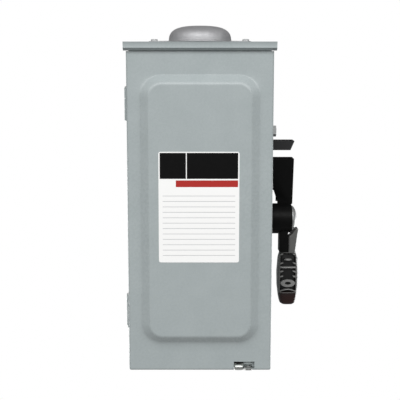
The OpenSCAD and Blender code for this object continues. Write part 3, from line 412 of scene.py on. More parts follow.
def guard_hem():
    """Sections along X, each a superellipse that is sqrt(1 - t^8) of the full size at t from -1 to 1."""
    t = np.sin(np.linspace(-np.pi / 2, np.pi / 2, HEM_ROWS))[:, None]
    size = np.sqrt(np.maximum(1 - t ** HEM_END_POWER, HEM_LEAST))
    uy, uz = rounded_square(HEM_COLUMNS, HEM_POWER)
    y = HEM_Y + HEM_HALF_D * size * uy
    z = HEM_Z + HEM_HALF_H * size * uz
    x = HEM_X.mean() + t * (HEM_X[1] - HEM_X[0]) / 2
    return capped_rings(np.stack([np.broadcast_to(x, y.shape), y, z], -1))


hem = make_piece("guard_hem", *guard_hem(), body="case", slot="black_paint")

# %% [markdown]
# ## Slotted screws
# The screws on the cap, the bases and the neutral bar have pan heads with a slot. A head is cut into strips
# across its slot: each strip is a ring over a chord of the disc, with its top at h (1 - 0.3 (r / R)^4), and
# two rings at the slot's walls drop to its floor. Every slot is turned from the one before by the golden
# angle, so none line up.

# %% Slotted screws
GOLDEN_ANGLE = math.pi * (3 - math.sqrt(5))
HEAD_R, HEAD_H, HEAD_FALL, HEAD_RIM, SHANK_R = 4 * MM, 2.4 * MM, 0.3, 0.99, 2 * MM
SLOT_HALF, SLOT_D, SEAT_IN = 0.55 * MM, 1.1 * MM, 0.2 * MM
STRIPS, CHORD_STEPS, SHANK_COLUMNS = 14, 21, 32
BASE_INSET, NEUTRAL_SCREWS = 1.5 * HEAD_R, 4


def pan_head():
    """Rings over the head's chords from side to side, with the seat at height 0."""
    side = HEAD_R * np.cos(np.linspace(math.acos(HEAD_RIM), math.acos(SLOT_HALF / HEAD_R), STRIPS))
    u = np.concatenate([-side, [-SLOT_HALF, SLOT_HALF], side[::-1]])[:, None]
    v = np.sqrt(HEAD_R ** 2 - u ** 2) * np.sin(np.linspace(-np.pi / 2, np.pi / 2, CHORD_STEPS))
    u = np.broadcast_to(u, v.shape)
    top = HEAD_H * (1 - HEAD_FALL * (np.hypot(u, v) / HEAD_R) ** 4)
    top[STRIPS:STRIPS + 2] = HEAD_H - SLOT_D
    return np.concatenate([np.stack([u, v, top], -1), np.stack([u, v, 0 * top], -1)[:, ::-1]], 1)


def slotted_screws(seats, shank_l, towards):
    """Points and faces of screws on seats, each turned by the golden angle, with their heads towards the top
    or the front."""
    a = np.linspace(0, 2 * np.pi, SHANK_COLUMNS, endpoint=False)
    circle = np.stack([SHANK_R * np.cos(a), SHANK_R * np.sin(a)], -1)
    shank = np.stack([np.column_stack([circle, np.full(len(a), w)]) for w in (SEAT_IN, -shank_l)])
    head_and_shank = capped_rings(pan_head()), capped_rings(shank)
    shells = []
    for k, seat in enumerate(seats):
        c, n = math.cos(k * GOLDEN_ANGLE), math.sin(k * GOLDEN_ANGLE)
        for points, faces in head_and_shank:
            u, v, w = points.T
            u, v = c * u - n * v, n * u + c * v
            shells.append((seat + np.stack([u, v, w] if towards == "top" else [u, -w, v], -1), faces))
    return joined(*shells)


def screw_seats(node, low, high):
    """Seats of a node's screws: by the box's ends for the cap, by the bases' corners, or in an even row."""
    middle = (low + high) / 2
    columns = (low[0] + HEAD_R, high[0] - HEAD_R)
    if node == "hub_cap_screws":
        return [np.array([x, middle[1], high[2] - HEAD_H]) for x in columns]
    if node == "neutral_screws":
        heights = np.linspace(low[2] + HEAD_R, high[2] - HEAD_R, NEUTRAL_SCREWS)
        return [np.array([middle[0], low[1] + HEAD_H, z]) for z in heights]
    heights = [box_of(base)[end][2] + inset for base in ("line_base", "fuse_base")
               for end, inset in enumerate((BASE_INSET, -BASE_INSET))]
    return [np.array([x, low[1] + HEAD_H, z]) for x in columns for z in heights]


screws = []
for node, towards in (("hub_cap_screws", "top"), ("base_screws", "front"), ("neutral_screws", "front")):
    low, high = box_of(node)
    length = (high - low)[2 if towards == "top" else 1] - HEAD_H
    mesh = slotted_screws(screw_seats(node, low, high), length, towards)
    screws.append(make_piece(node + "_slotted", *mesh, body="case", slot="zinc_steel", stands_for=[node]))

# %% [markdown]
# ## The moulded grip
# The grip is a cored plastic moulding: a barrel that swells and tapers, with one long pocket in its front and
# ribs across the pocket. Each section is a rounded square (a superellipse). The pocket is a depth field over
# the front face, and each rib is a round ridge in it, sqrt(1 - (d / half)^2) of the depth at distance d from
# the rib's middle line. A broad thumb fin stands on the outer shoulder. Its inner edge runs past the pivot
# cap and the hub to the arm. The pocket and its ribs are measured in millimetres across and down the grip.

# %% Grip barrel and thumb fin
grip_high, lever_high = box_of("handle_grip")[1], box_of("handle_lever")[1]
axis = np.array(next(j["pos_m"] for j in frame["joints"] if j["name"] == "handle_turn"))
GRIP_TOP, GRIP_L, GRIP_W, GRIP_D = 39.5 * MM, 63.5 * MM, 25.5 * MM, 24 * MM
STATIONS_T = np.array([0, 0.12, 0.4, 0.65, 0.85, 0.96, 1.0])
STATIONS_W = np.array([0.72, 0.9, 1.0, 0.97, 0.85, 0.74, 0.66])
STATIONS_BLUR, TIP_FROM, TIP_SHRINK, GRIP_POWER = 17, 0.965, 0.35, 0.55
POCKET_D, POCKET_HALF, POCKET_L = 4 * MM, 8.9, 48.0
POCKET_TOP, POCKET_SIDE_EASE, POCKET_END_EASE, POCKET_FROM = (0.6, 1.6), 0.5, 0.8, -0.5
STUBS_AT, STUB_X, STUB_HALF, STUB_SLANT = (3.0, 13.6, 23.5, 29.5), 8, (3.2, 1.4), 0.35
BOSS_AT, BOSS_HALF, BAR_AT, BAR_HALF = 8.9, (5.5, 1.9), 18.3, 1.5
RING_AT, RING_HALF, RING_W, RING_GAIN = 37.4, (6.1, 3.2), 0.5, 1.6
ARC_AT, ARC_SAG, ARC_HALF = 44.9, 2.1, 1.1
FIN_IN, FIN_GAP, FIN_HALF_D, FIN_TIP_W = 3.57 * MM, 0.5 * MM, 8 * MM, 3.2 * MM
HUB_R, FIN_RISE, FIN_ROOT = 17 * MM, 11.5 * MM, 3.2 * MM
FIN_ROUND_H, FIN_ROUND, FIN_THIN, FIN_POWER = 1.2 * MM, 0.75, 0.15, 0.4
# Grey tint of the grip: its share on the sides, more on the front and less at the tip.
GREY_SIDE, GREY_FRONT, GREY_TIP, GREY_FADE = 0.42, 0.08, 0.15, 2
GRIP_ROWS, GRIP_COLUMNS, FIN_ROWS, FIN_COLUMNS = 240, 240, 60, 64
grip_x = grip_high[0] - GRIP_W / 2


def smooth_step(x, low, high):
    """0 below low, 1 above high, and a smooth S between."""
    t = np.clip((x - low) / (high - low), 0, 1)
    return t * t * (3 - 2 * t)


def rib_share(x, s):
    """Share of the pocket that ribs fill, x across and s down in mm: stubs, boss, bar, ring and arc."""
    def ridge(d, half=1):
        return np.sqrt(np.clip(1 - (d / half) ** 2, 0, 1))

    def oval(across, down, half):
        return np.hypot(across / half[0], down / half[1])

    edge = np.abs(x) - STUB_X
    stubs = [ridge(oval(edge, s - at - STUB_SLANT * edge, STUB_HALF)) for at in STUBS_AT]
    boss = ridge(oval(x, s - BOSS_AT, BOSS_HALF))
    bar = ridge(np.abs(s - BAR_AT), BAR_HALF)
    ring = np.minimum(1, RING_GAIN * ridge(np.abs(oval(x, s - RING_AT, RING_HALF) - 1), RING_W))
    arc = ridge(np.abs(s - ARC_AT - ARC_SAG * (x / STUB_X) ** 2), ARC_HALF)
    return np.max([*stubs, boss, bar, ring, arc], 0)


def in_pocket(x, s):
    """1 inside the long pocket's outline and 0 outside, with soft edges, x and s in mm."""
    across = 1 - smooth_step(np.abs(x), POCKET_HALF - POCKET_SIDE_EASE, POCKET_HALF + POCKET_SIDE_EASE)
    end = 1 - smooth_step(s, POCKET_L - POCKET_END_EASE, POCKET_L + POCKET_END_EASE)
    return across * smooth_step(s, *POCKET_TOP) * end


def grip_barrel():
    """Superellipse sections down the grip, with the ribbed pocket pressed into the front."""
    t = np.linspace(0, 1, GRIP_ROWS)
    w = np.interp(t, STATIONS_T, STATIONS_W)
    kernel = np.hanning(STATIONS_BLUR)
    w = np.convolve(np.pad(w, STATIONS_BLUR // 2, mode="edge"), kernel / kernel.sum(), mode="valid")
    w = w * np.sqrt(1 - TIP_SHRINK * smooth_step(t, TIP_FROM, 1.0) ** 2)
    ux, uy = rounded_square(GRIP_COLUMNS, GRIP_POWER)
    x = w[:, None] * GRIP_W / 2 * ux
    y = (w[:, None] + 1) * GRIP_D / 4 * uy
    along = t[:, None] * GRIP_L
    s = along / MM + 0 * x
    pocket = POCKET_D * in_pocket(x / MM, s) * (1 - rib_share(x / MM, s)) * (uy < POCKET_FROM)
    z = np.broadcast_to(axis[2] - GRIP_TOP - along, x.shape)
    return np.stack([grip_x + x, axis[1] + y + pocket, z], -1)


def thumb_fin():
    """Rounded sections between the fin's inner edge, bent past the hub, and its straight outer edge."""
    x0, x1, hub_x = lever_high[0] - FIN_IN, grip_high[0] - FIN_GAP, lever_high[0] + FIN_GAP
    tip, bend, foot = axis[2] - FIN_RISE, axis[2] - HUB_R - FIN_GAP, axis[2] - GRIP_TOP - FIN_ROOT
    z = np.linspace(foot, tip, FIN_ROWS)
    inner = np.interp(z, [foot, bend - FIN_IN - FIN_GAP, bend, tip], [x0, x0, hub_x, x1 - FIN_TIP_W])
    outer = np.interp(z, [foot, tip], [grip_x + GRIP_W / 3, x1])
    end = np.sqrt(1 - FIN_ROUND * smooth_step(z, tip - FIN_ROUND_H, tip) ** 2)
    ux, uy = rounded_square(FIN_COLUMNS, FIN_POWER)
    x = ((inner + outer) / 2)[:, None] + ((outer - inner) / 2 * end)[:, None] * ux
    y = axis[1] + FIN_HALF_D * (1 - FIN_THIN + FIN_THIN * end)[:, None] * uy
    return np.stack([x, y, np.broadcast_to(z[:, None], x.shape)], -1)


grip = make_piece("grip_moulding", *joined(capped_rings(grip_barrel()), capped_rings(thumb_fin())),
                  body="handle", slot="grip_plastic", stands_for=["handle_grip"])


def mark_grey_and_rib_highlights(mesh):
    """Point attribute on the grip: the ribs' share in the pocket, as a painted highlight on their tops, and about
    half round it as a grey tint, less on the sides and at the tip."""
    points = np.empty(3 * len(mesh.vertices))
    mesh.vertices.foreach_get("co", points)
    x, y, z = points.reshape(-1, 3).T
    across, down = (x - grip_x) / MM, (axis[2] - GRIP_TOP - z) / MM
    inside = in_pocket(across, down) * (y < axis[1] - GRIP_D / 4)
    front = smooth_step(axis[1] - y, GRIP_D / 8, GRIP_D / 4)
    plain = GREY_SIDE + GREY_FRONT * front - GREY_TIP * smooth_step(down, POCKET_L, POCKET_L + GREY_FADE)
    # Inside the pocket the ribs' share is a painted highlight on their tops; elsewhere it is the grey tint.
    share = inside * rib_share(across, down) + (1 - inside) * plain
    mesh.attributes.new("rib", "FLOAT", "POINT").data.foreach_set("value", share)
    print("rib points:", int((share > 0.5).sum()))


mark_grey_and_rib_highlights(grip.data)

# %% [markdown]
# ## The label
# A plain printed card is stuck on the raised panel: two dark fields on top, a thin red band and a ruled white
# field. The card is a thin slab with round corners, and its bands are drawn by the material.

# %% Label card
LABEL_X, LABEL_TOP, LABEL_W, LABEL_H = -1.2 * MM, 67.5 * MM, 91 * MM, 126.2 * MM
LABEL_T, LABEL_R, LABEL_STEPS = 0.2 * MM, 2.5 * MM, 8


def label_card():
    """Two round-cornered outlines, front and back, joined to a slab that lies on the raised panel."""
    half = LABEL_W / 2 - LABEL_R
    left, right = LABEL_X - half, LABEL_X + half
    high, low = LABEL_TOP - LABEL_R, LABEL_TOP - LABEL_H + LABEL_R
    outline = corner_arcs([(right, high), (left, high), (left, low), (right, low)], LABEL_R, LABEL_STEPS)
    return capped_rings(slab(outline, door_low[1], door_low[1] - LABEL_T))


label = make_piece("label_card", *label_card(), body="door", slot="white_moulding", smooth=False)

# %% [markdown]
# ## Soft edges on the frame's own solids
# CAD edges are perfectly sharp, and real ones never are. The frame's meshes stay as they are, and modifiers
# finish them: weld the loose triangles, dissolve flat ones, bevel what is left and weight the normals by face
# area. Widths are in millimetres, and the solids that aren't in the table share one.

# %% Bevelled edges
BEVEL_WIDTHS = {
    "enclosure_wrap": 0.5, "top_endwall": 0.35, "bottom_endwall": 0.35, "handle_bracket": 0.4,
    "handle_lever": 0.8, "pivot_cap": 0.9, "interlock_screw": 0.5, "hinge_case_leaves": 0.25,
    "hinge_door_leaves": 0.25, "hinge_pins": 0.2, "hasp_tab": 0.4, "hub_gasket": 0.3, "line_base": 0.8,
    "fuse_base": 0.8, "crossbar": 1.0, "neutral_insulator": 0.6,
}
COMMON_BEVEL, BEVEL_SEGMENTS, BEVEL_ANGLE = 0.25, 2, math.radians(32)
WELD_GAP, FLAT_ANGLE = 1e-5, math.radians(0.5)


def soften(node, width):
    """Weld, dissolve, bevel and weighted normals on a CAD node, width in millimetres."""
    obj = frame["nodes"][node]
    obj.data.polygons.foreach_set("use_smooth", np.ones(len(obj.data.polygons), bool))
    weld = obj.modifiers.new("weld", "WELD")
    weld.merge_threshold = WELD_GAP
    flat = obj.modifiers.new("dissolve", "DECIMATE")
    flat.decimate_type = "DISSOLVE"
    flat.angle_limit = FLAT_ANGLE
    bevel = obj.modifiers.new("bevel", "BEVEL")
    bevel.width = width * MM
    bevel.segments = BEVEL_SEGMENTS
    bevel.limit_method = "ANGLE"
    bevel.angle_limit = BEVEL_ANGLE
    bevel.miter_outer = "MITER_ARC"
    even_normals(obj, keep_sharp=False)


REPLACED = ("door_panel", "hub_cap", "handle_grip", "door_latch", "hub_cap_screws", "base_screws",
            "neutral_screws")
shown = [n for n in frame["nodes"] if n not in REPLACED]
for node in shown:
    soften(node, BEVEL_WIDTHS.get(node, COMMON_BEVEL))
print("softened", len(shown), "nodes")

# %% [markdown]
# ## Finishes
# Every finish is a Principled shader with patterns on Object coordinates, so that they stay on the piece from
# any side. Constants are set on the shader's sockets, and noise drives only what really varies: tint, gloss
# and relief.

# %% Finish helpers
GRAIN_SPAN = (0.3, 0.7)
GLOSS_LOW, GLOSS_HIGH = 0.85, 1.2
FINER, SPECKLE_RELIEF = 6, 0.25
SATIN_GRAIN, SATIN_RELIEF = 300, 0.2


def new_finish(name, colour, roughness, metallic=0.0, **sockets):
    """Material whose constants sit on its Principled shader, and that shader."""
    material = bpy.data.materials.new(name)
    material.use_nodes = True
    shader = material.node_tree.nodes["Principled BSDF"]
    shader.inputs["Base Color"].default_value = (*colour, 1)
    shader.inputs["Roughness"].default_value = roughness
    shader.inputs["Metallic"].default_value = metallic
    for socket, value in sockets.items():
        shader.inputs[socket.replace("_", " ")].default_value = value
    print("finish", name)
    return material, shader


def grain(material, per_metre, detail=3.0, stretch=(1, 1, 1)):
    """Noise value with that many features per metre, stretched along the axes."""
    nodes, links = material.node_tree.nodes, material.node_tree.links
    place = nodes.new("ShaderNodeMapping")
    place.inputs["Scale"].default_value = stretch
    texture = nodes.new("ShaderNodeTexNoise")
    texture.inputs["Scale"].default_value = per_metre
    texture.inputs["Detail"].default_value = detail
    links.new(nodes.new("ShaderNodeTexCoord").outputs["Object"], place.inputs["Vector"])
    links.new(place.outputs["Vector"], texture.inputs["Vector"])
    return texture.outputs["Fac"]


def object_axis(material, axis_name):
    """Object coordinate along X, Y or Z, in metres."""
    nodes, links = material.node_tree.nodes, material.node_tree.links
    split = nodes.new("ShaderNodeSeparateXYZ")
    links.new(nodes.new("ShaderNodeTexCoord").outputs["Object"], split.inputs["Vector"])
    return split.outputs[axis_name]


def map_range(tree, value, source, target=(0, 1)):
    """Value taken from the source range to the target range, and held at its ends."""
    node = tree.nodes.new("ShaderNodeMapRange")
    for end, low_high in (("From", source), ("To", target)):
        node.inputs[end + " Min"].default_value, node.inputs[end + " Max"].default_value = low_high
    tree.links.new(value, node.inputs["Value"])
    return node.outputs["Result"]


def ramp(material, value, *stops):
    """Colour from a ramp of (place, colour) stops over value."""
    node = material.node_tree.nodes.new("ShaderNodeValToRGB")
    while len(node.color_ramp.elements) < len(stops):
        node.color_ramp.elements.new(0.5)
    for element, (place, colour) in zip(node.color_ramp.elements, stops):
        element.position = place
        element.color = (*colour, 1)
    material.node_tree.links.new(value, node.inputs["Fac"])
    return node.outputs["Color"]


def tint(material, shader, value, *stops):
    """Base colour from a ramp of (place, colour) stops over value."""
    material.node_tree.links.new(ramp(material, value, *stops), shader.inputs["Base Color"])


def gloss(material, shader, value, low, high):
    """Roughness from low to high over a grain's value."""
    tree = material.node_tree
    tree.links.new(map_range(tree, value, GRAIN_SPAN, (low, high)), shader.inputs["Roughness"])


def relief(material, shader, value, strength, height_mm):
    """Bump of that height over value."""
    bump = material.node_tree.nodes.new("ShaderNodeBump")
    bump.inputs["Strength"].default_value = strength
    bump.inputs["Distance"].default_value = height_mm * MM
    material.node_tree.links.new(value, bump.inputs["Height"])
    material.node_tree.links.new(bump.outputs["Normal"], shader.inputs["Normal"])


def speckled(name, dark, light, roughness, metallic, per_metre, bump_mm, stretch=(1, 1, 1), **sockets):
    """Finish between two tints over a coarse grain, with gloss and relief from a finer one."""
    material, shader = new_finish(name, light, roughness, metallic, **sockets)
    coarse = grain(material, per_metre, 4.0, stretch)
    fine = grain(material, per_metre * FINER, 3.0, stretch)
    tint(material, shader, coarse, *zip(GRAIN_SPAN, (dark, light)))
    gloss(material, shader, fine, roughness * GLOSS_LOW, min(1.0, roughness * GLOSS_HIGH))
    relief(material, shader, fine, SPECKLE_RELIEF, bump_mm)
    return material


# %% [markdown]
# Sprayed grey enamel is nearly even, with a faint drift of tone and a fine orange peel that breaks up
# reflections. The black enamel on the handle is duller. Plated and cast metals get a stretched or speckled
# grain. Each finish has two tints, a roughness, a metallic share, grains per metre and the relief in mm.

# %% Paints, metals and mouldings
grey_enamel = speckled("grey_enamel", (0.358, 0.400, 0.404), (0.378, 0.420, 0.424), 0.27, 0.0, 40, 0.004,
                       Specular_IOR_Level=0.35)
black_enamel = speckled("black_enamel", (0.003, 0.003, 0.003), (0.005, 0.005, 0.005), 0.42, 0.0, 40, 0.02,
                        Specular_IOR_Level=0.08)
cast_metal = speckled("cast_metal", (0.385, 0.385, 0.395), (0.445, 0.445, 0.455), 0.59, 0.72, 160, 0.03)
zinc_plate = speckled("zinc_plate", (0.52, 0.53, 0.52), (0.66, 0.66, 0.64), 0.30, 1.0, 120, 0.01,
                      (1, 1, 0.25))
rubber_seal = speckled("rubber_seal", (0.012, 0.012, 0.012), (0.03, 0.03, 0.03), 0.8, 0.0, 200, 0.05)
turned_brass = speckled("turned_brass", (0.52, 0.36, 0.13), (0.66, 0.49, 0.21), 0.28, 1.0, 150, 0.01)
plated_copper = speckled("plated_copper", (0.55, 0.26, 0.14), (0.75, 0.42, 0.27), 0.32, 1.0, 60, 0.01,
                         (0.3, 1, 1))
tinned_lug = speckled("tinned_lug", (0.55, 0.55, 0.55), (0.72, 0.72, 0.71), 0.36, 1.0, 220, 0.02)
dark_moulding = speckled("dark_moulding", (0.014, 0.012, 0.011), (0.035, 0.030, 0.027), 0.5, 0.0, 250, 0.04)
fibre_board = speckled("fibre_board", (0.20, 0.13, 0.075), (0.30, 0.21, 0.13), 0.75, 0.0, 90, 0.06,
                       (1, 1, 0.2))
fuse_paper = speckled("fuse_paper", (0.50, 0.41, 0.23), (0.64, 0.54, 0.33), 0.6, 0.0, 120, 0.03, (1, 1, 4))
white_moulding = speckled("white_moulding", (0.66, 0.64, 0.59), (0.76, 0.74, 0.69), 0.45, 0.0, 60, 0.02)
green_head = speckled("green_head", (0.015, 0.14, 0.05), (0.03, 0.22, 0.08), 0.35, 0.3, 200, 0.02)
red_moulding = speckled("red_moulding", (0.13, 0.014, 0.010), (0.20, 0.024, 0.018), 0.34, 0.0, 80, 0.03)
clear_sheet = speckled("clear_sheet", (0.86, 0.90, 0.93), (0.94, 0.96, 0.98), 0.08, 0.0, 20, 0.01,
                       Transmission_Weight=0.95, IOR=1.49)

# %% [markdown]
# The grip is satin black plastic with a dark reddish brown lower end, so the tint follows the height in a
# soft step. It is tinted grey, lighter on the front, and the tops of the ribs get a painted highlight: the
# finish reads the grip's point attribute for that.

# %% Grip plastic
GRIP_BLACK, GRIP_BROWN = (0.006, 0.006, 0.006), (0.016, 0.004, 0.003)
BROWN_SPAN, BROWN_BELOW, BLACK_ABOVE = (-0.120, -0.050), 0.14, 0.25
# Ramp over the grip's attribute: grey tint up to about 0.62, then a painted highlight on the rib tops.
GREY_AND_HIGHLIGHT_TONES, GREY_BLUE = ((0.35, 0.0), (0.5, 0.105), (0.62, 0.108), (1.0, 0.20)), 0.97
SHEEN_GRAIN, TEXTURE_GRAIN = 180, 1400


def grip_finish():
    """Black plastic that is reddish brown at the lower end and tinted grey, lighter in front, with a painted
    highlight on the rib tops and a fine moulded texture."""
    material, shader = new_finish("grip_plastic", GRIP_BLACK, 0.3)
    nodes, links = material.node_tree.nodes, material.node_tree.links
    height = map_range(material.node_tree, object_axis(material, "Z"), BROWN_SPAN)
    rib = nodes.new("ShaderNodeAttribute")
    rib.attribute_name = "rib"
    grey_and_highlight = [(place, (tone, tone, tone * GREY_BLUE)) for place, tone in GREY_AND_HIGHLIGHT_TONES]
    add = nodes.new("ShaderNodeMix")
    add.data_type, add.blend_type = "RGBA", "ADD"
    add.inputs["Factor"].default_value = 1.0
    links.new(ramp(material, height, (BROWN_BELOW, GRIP_BROWN), (BLACK_ABOVE, GRIP_BLACK)), add.inputs["A"])
    # The rib attribute adds the grey tint and the painted highlight on the rib tops.
    links.new(ramp(material, rib.outputs["Fac"], *grey_and_highlight), add.inputs["B"])
    links.new(add.outputs["Result"], shader.inputs["Base Color"])
    gloss(material, shader, grain(material, SHEEN_GRAIN), 0.24, 0.34)
    relief(material, shader, grain(material, TEXTURE_GRAIN, 2.0), SATIN_RELIEF, 0.03)
    return material


grip_plastic = grip_finish()

# %% [markdown]
# The card's bands are steps over height and width: a value is inside a band where it is above one edge and
# below the other. Multiplying such masks gives rectangles, and a fraction of the height gives the ruled
# lines. Places are in millimetres, across from the card's middle and down from its top.

# %% Label print
CARD_WHITE, CARD_DARK = (0.92, 0.92, 0.91), (0.005, 0.005, 0.005)
CARD_RED, CARD_GREY = (0.42, 0.035, 0.03), (0.45, 0.46, 0.47)
LEFT_FIELD_X, RIGHT_FIELD_X, FIELDS_Z = (-44.0, -14.6), (-13.6, 44.0), (1.2, 30.5)
BAND_X, BAND_Z = (-26.0, 44.0), (32.2, 39.8)
RULED_X, RULED_Z, RULE_STEP, RULE_SHARE = (-41.0, 41.0), (45.0, 123.0), 6.2, 0.09


def label_finish():
    """White satin card with two dark fields, a red band and thin ruled lines."""
    material, shader = new_finish("label_print", CARD_WHITE, 0.35, Specular_IOR_Level=0.12)
    nodes, links = material.node_tree.nodes, material.node_tree.links

    def calc(kind, a, b):
        node = nodes.new("ShaderNodeMath")
        node.operation = kind
        for socket, value in zip(node.inputs, (a, b)):
            if hasattr(value, "is_linked"):
                links.new(value, socket)
            else:
                socket.default_value = value
        return node.outputs[0]

    def inside(value, low_high):
        low, high = low_high
        return calc("MULTIPLY", calc("GREATER_THAN", value, low), calc("LESS_THAN", value, high))

    def painted(under, mask, colour):
        mix = nodes.new("ShaderNodeMix")
        mix.data_type = "RGBA"
        links.new(mask, mix.inputs["Factor"])
        if hasattr(under, "is_linked"):
            links.new(under, mix.inputs["A"])
        else:
            mix.inputs["A"].default_value = (*under, 1)
        mix.inputs["B"].default_value = (*colour, 1)
        return mix.outputs["Result"]

    x = calc("DIVIDE", calc("SUBTRACT", object_axis(material, "X"), LABEL_X), MM)
    z = calc("DIVIDE", calc("SUBTRACT", LABEL_TOP, object_axis(material, "Z")), MM)
    fields = calc("ADD", inside(x, LEFT_FIELD_X), inside(x, RIGHT_FIELD_X))
    header = calc("MULTIPLY", fields, inside(z, FIELDS_Z))
    red = calc("MULTIPLY", inside(x, BAND_X), inside(z, BAND_Z))
    rules = calc("LESS_THAN", calc("FRACT", calc("DIVIDE", z, RULE_STEP), 0.0), RULE_SHARE)
    ruled = calc("MULTIPLY", rules, calc("MULTIPLY", inside(x, RULED_X), inside(z, RULED_Z)))
    colour = CARD_WHITE
    for mask, ink in ((header, CARD_DARK), (red, CARD_RED), (ruled, CARD_GREY)):
        colour = painted(colour, mask, ink)
    links.new(colour, shader.inputs["Base Color"])
    gloss(material, shader, grain(material, SATIN_GRAIN), 0.28, 0.40)
    return material


label_print = label_finish()

# %% [markdown]
# Some parts differ from the rest of their slot. The pivot cap is dull, and the screws outside are paler and
# less metallic. The latch's strip is painted near black, a painted shade where it shows in the notch, with a
# bright rolled end. The bracket's ear is painted lighter grey, a painted highlight above the guard's shade.
# Both are told apart by height.

# %% Cap, latch and bracket
ROLL_TOP, EAR_FOOT = (-0.1816, -0.1810), (0.0620, 0.0635)


def two_tone(name, roughness, metallic, heights, lower, upper, **sockets):
    """Finish that goes from one tint to another between two heights in metres, with a fine grain."""
    material, shader = new_finish(name, lower, roughness, metallic, **sockets)
    height = map_range(material.node_tree, object_axis(material, "Z"), heights)
    tint(material, shader, height, (0.0, lower), (1.0, upper))
    fine = grain(material, SATIN_GRAIN)
    gloss(material, shader, fine, roughness * GLOSS_LOW, roughness * GLOSS_HIGH)
    relief(material, shader, fine, SATIN_RELIEF, 0.01)
    return material


# The strip above the roll is painted near black: painted shade where it shows in the dark gap of the notch.
latch_spring = two_tone("latch_spring", 0.4, 1.0, ROLL_TOP, (0.50, 0.52, 0.50), (0.03, 0.03, 0.03))
# The ear above the guard is painted lighter grey: painted light where it stands out of the shade on the guard.
bracket_enamel = two_tone("bracket_enamel", 0.42, 0.0, EAR_FOOT, (0.004, 0.004, 0.004), (0.034, 0.034, 0.035),
                          Specular_IOR_Level=0.08)
dull_plate = speckled("dull_plate", (0.46, 0.47, 0.47), (0.53, 0.54, 0.53), 0.5, 1.0, 140, 0.01)
pale_plate = speckled("pale_plate", (0.46, 0.47, 0.47), (0.56, 0.57, 0.57), 0.45, 0.3, 140, 0.01)

# %% [markdown]
# ## Dress every solid
# The record says which slot each solid belongs to. A table from slot to finish dresses them all, and the
# pieces made above get theirs by name.

# %% Assign finishes
FINISHES = {
    "paint_grey": grey_enamel, "dome_metal": cast_metal, "gasket_rubber": rubber_seal,
    "zinc_steel": zinc_plate, "black_paint": black_enamel, "grip_plastic": grip_plastic,
    "bush_brass": turned_brass, "copper": plated_copper, "lug_alloy": tinned_lug,
    "base_moulding": dark_moulding, "arc_board": fibre_board, "clear_plastic": clear_sheet,
    "fuse_tube": fuse_paper, "white_moulding": white_moulding, "green_screw": green_head,
    "red_moulding": red_moulding,
}
NODE_FINISHES = {"pivot_cap": dull_plate, "interlock_screw": pale_plate, "door_latch": latch_spring,
                 "handle_bracket": bracket_enamel}


def dress(obj, finish):
    """One finish on the whole of obj."""
    obj.data.materials.clear()
    obj.data.materials.append(finish)


for part in frame["record"]["subparts"]:
    dress(frame["nodes"][part["node"]], NODE_FINISHES.get(part["node"], FINISHES[part["material_slot"]]))
pieces = [(door, grey_enamel), (lip, grey_enamel), (dome, cast_metal), (grip, grip_plastic),
          (label, label_print), (latch, latch_spring), (hem, black_enamel),
          *zip(screws, (pale_plate, zinc_plate, zinc_plate))]
for obj, finish in pieces:
    dress(obj, finish)

# %% [markdown]
# ## Studio
# The box is shown alone on white. One wide soft light stands above the camera, half way up the sky, so that
# the panel's upper slope is bright, its sides are duller and its lower slope lies in shade. Two weaker lights
# low behind the box fill its back and sides, and the world adds an even glow that is weaker behind, where the
# dome's top mirrors it. The floor is a pale sheet well below the box that fades out towards its edges.

# %% Lights, floor and world
TARGET = np.array([0.0, -0.06, 0.0])
KEY_PLACE, KEY_SIZE, KEY_POWER = (0.0, -2.4, 1.9), (7.5, 1.4), 157
FILL_ACROSS, FILL_BEHIND, FILL_HEIGHT, FILL_SIZE, FILL_POWER = 1.8, 1.6, -0.8, (1.2, 1.2), 25
FLOOR_Z, FLOOR_HALF = -0.85, 1.3
GLOW_SPAN, GLOW_FRONT, GLOW_BEHIND = (-0.2, 0.5), 0.27, 0.19


def soft_light(name, place, size, power):
    """Rectangular area light at place, turned towards the middle of the box."""
    lamp = bpy.data.lights.new(name, "AREA")
    lamp.shape = "RECTANGLE"
    lamp.size, lamp.size_y = size
    lamp.energy = power
    obj = bpy.data.objects.new(name, lamp)
    bpy.context.scene.collection.objects.link(obj)
    obj.location = place
    aim = TARGET - np.array(place)
    across = math.atan2(aim[0], -aim[1])
    down = math.atan2(math.hypot(aim[0], aim[1]), -aim[2])
    obj.rotation_euler = (down, 0, math.pi + across)
    return obj


soft_light("key_light", KEY_PLACE, KEY_SIZE, KEY_POWER)
for name, across in (("left_fill", -FILL_ACROSS), ("right_fill", FILL_ACROSS)):
    fill = soft_light(name, (across, FILL_BEHIND, FILL_HEIGHT), FILL_SIZE, FILL_POWER)
    fill.visible_camera = False

floor_mesh = bpy.data.meshes.new("floor")
corners = np.array([[-1, -1], [1, -1], [1, 1], [-1, 1]]) * FLOOR_HALF
floor_mesh.from_pydata([(*c, FLOOR_Z) for c in corners.tolist()], [], [(0, 1, 2, 3)])
floor = bpy.data.objects.new("floor", floor_mesh)
bpy.context.scene.collection.objects.link(floor)


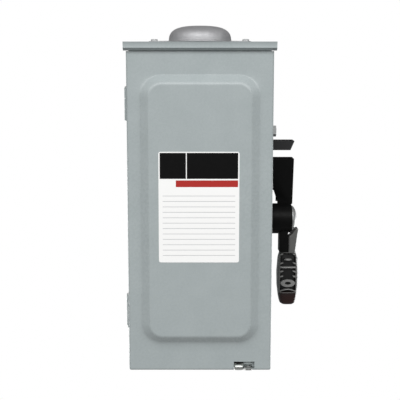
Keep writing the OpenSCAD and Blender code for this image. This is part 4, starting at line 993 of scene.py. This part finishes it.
def fading_floor():
    """White sheet that fades to nothing with the distance r from its middle, as (1 - r / half)^2."""
    material, shader = new_finish("floor_white", (0.9, 0.9, 0.9), 0.9)
    nodes, links = material.node_tree.nodes, material.node_tree.links
    place = nodes.new("ShaderNodeMapping")
    place.inputs["Scale"].default_value = [1 / FLOOR_HALF] * 3
    place.inputs["Location"].default_value = (0, 0, -FLOOR_Z / FLOOR_HALF)
    links.new(nodes.new("ShaderNodeTexCoord").outputs["Object"], place.inputs["Vector"])
    nearness = nodes.new("ShaderNodeTexGradient")
    nearness.gradient_type = "QUADRATIC_SPHERE"
    links.new(place.outputs["Vector"], nearness.inputs["Vector"])
    blend = nodes.new("ShaderNodeMixShader")
    links.new(nearness.outputs["Fac"], blend.inputs["Fac"])
    links.new(nodes.new("ShaderNodeBsdfTransparent").outputs[0], blend.inputs[1])
    links.new(shader.outputs[0], blend.inputs[2])
    links.new(blend.outputs[0], nodes["Material Output"].inputs["Surface"])
    return material


dress(floor, fading_floor())

world = bpy.data.worlds.new("studio")
bpy.context.scene.world = world
world.use_nodes = True
sky, sky_links = world.node_tree.nodes, world.node_tree.links
glow = sky["Background"]
glow.inputs["Color"].default_value = (1, 1, 1, 1)
direction = sky.new("ShaderNodeSeparateXYZ")
sky_links.new(sky.new("ShaderNodeTexCoord").outputs["Generated"], direction.inputs["Vector"])
fade = map_range(world.node_tree, direction.outputs["Y"], GLOW_SPAN, (GLOW_FRONT, GLOW_BEHIND))
sky_links.new(fade, glow.inputs["Strength"])
seen = sky.new("ShaderNodeBackground")
seen.inputs["Color"].default_value = (1, 1, 1, 1)
choice = sky.new("ShaderNodeMixShader")
sky_links.new(sky.new("ShaderNodeLightPath").outputs["Is Camera Ray"], choice.inputs["Fac"])
sky_links.new(glow.outputs[0], choice.inputs[1])
sky_links.new(seen.outputs[0], choice.inputs[2])
sky_links.new(choice.outputs[0], sky["World Output"].inputs["Surface"])
bpy.context.scene.view_settings.view_transform = "Standard"
print("studio: one wide light, two fills, pale floor at", FLOOR_Z)

# %% [markdown]
# ## Camera
# The picture was taken from the middle, a little above the box and about a metre away. The camera's distance,
# height, pitch and focal length were fitted to the outlines of the door, the cap and the dome.

# %% Camera
CAMERA_PLACE = (0.0, -1.116, 0.1555)
CAMERA_PITCH = math.radians(8.17)
FOCAL_PX, FRAME_PX, SENSOR_MM = 889.6, 400, 36.0
lens = bpy.data.cameras.new("camera")
lens.sensor_width = SENSOR_MM
lens.lens = FOCAL_PX / FRAME_PX * SENSOR_MM
camera = bpy.data.objects.new("camera", lens)
camera.location = CAMERA_PLACE
camera.rotation_euler = (math.pi / 2 - CAMERA_PITCH, 0, 0)
bpy.context.scene.collection.objects.link(camera)
bpy.context.scene.camera = camera
print("lens", round(lens.lens, 2), "mm")
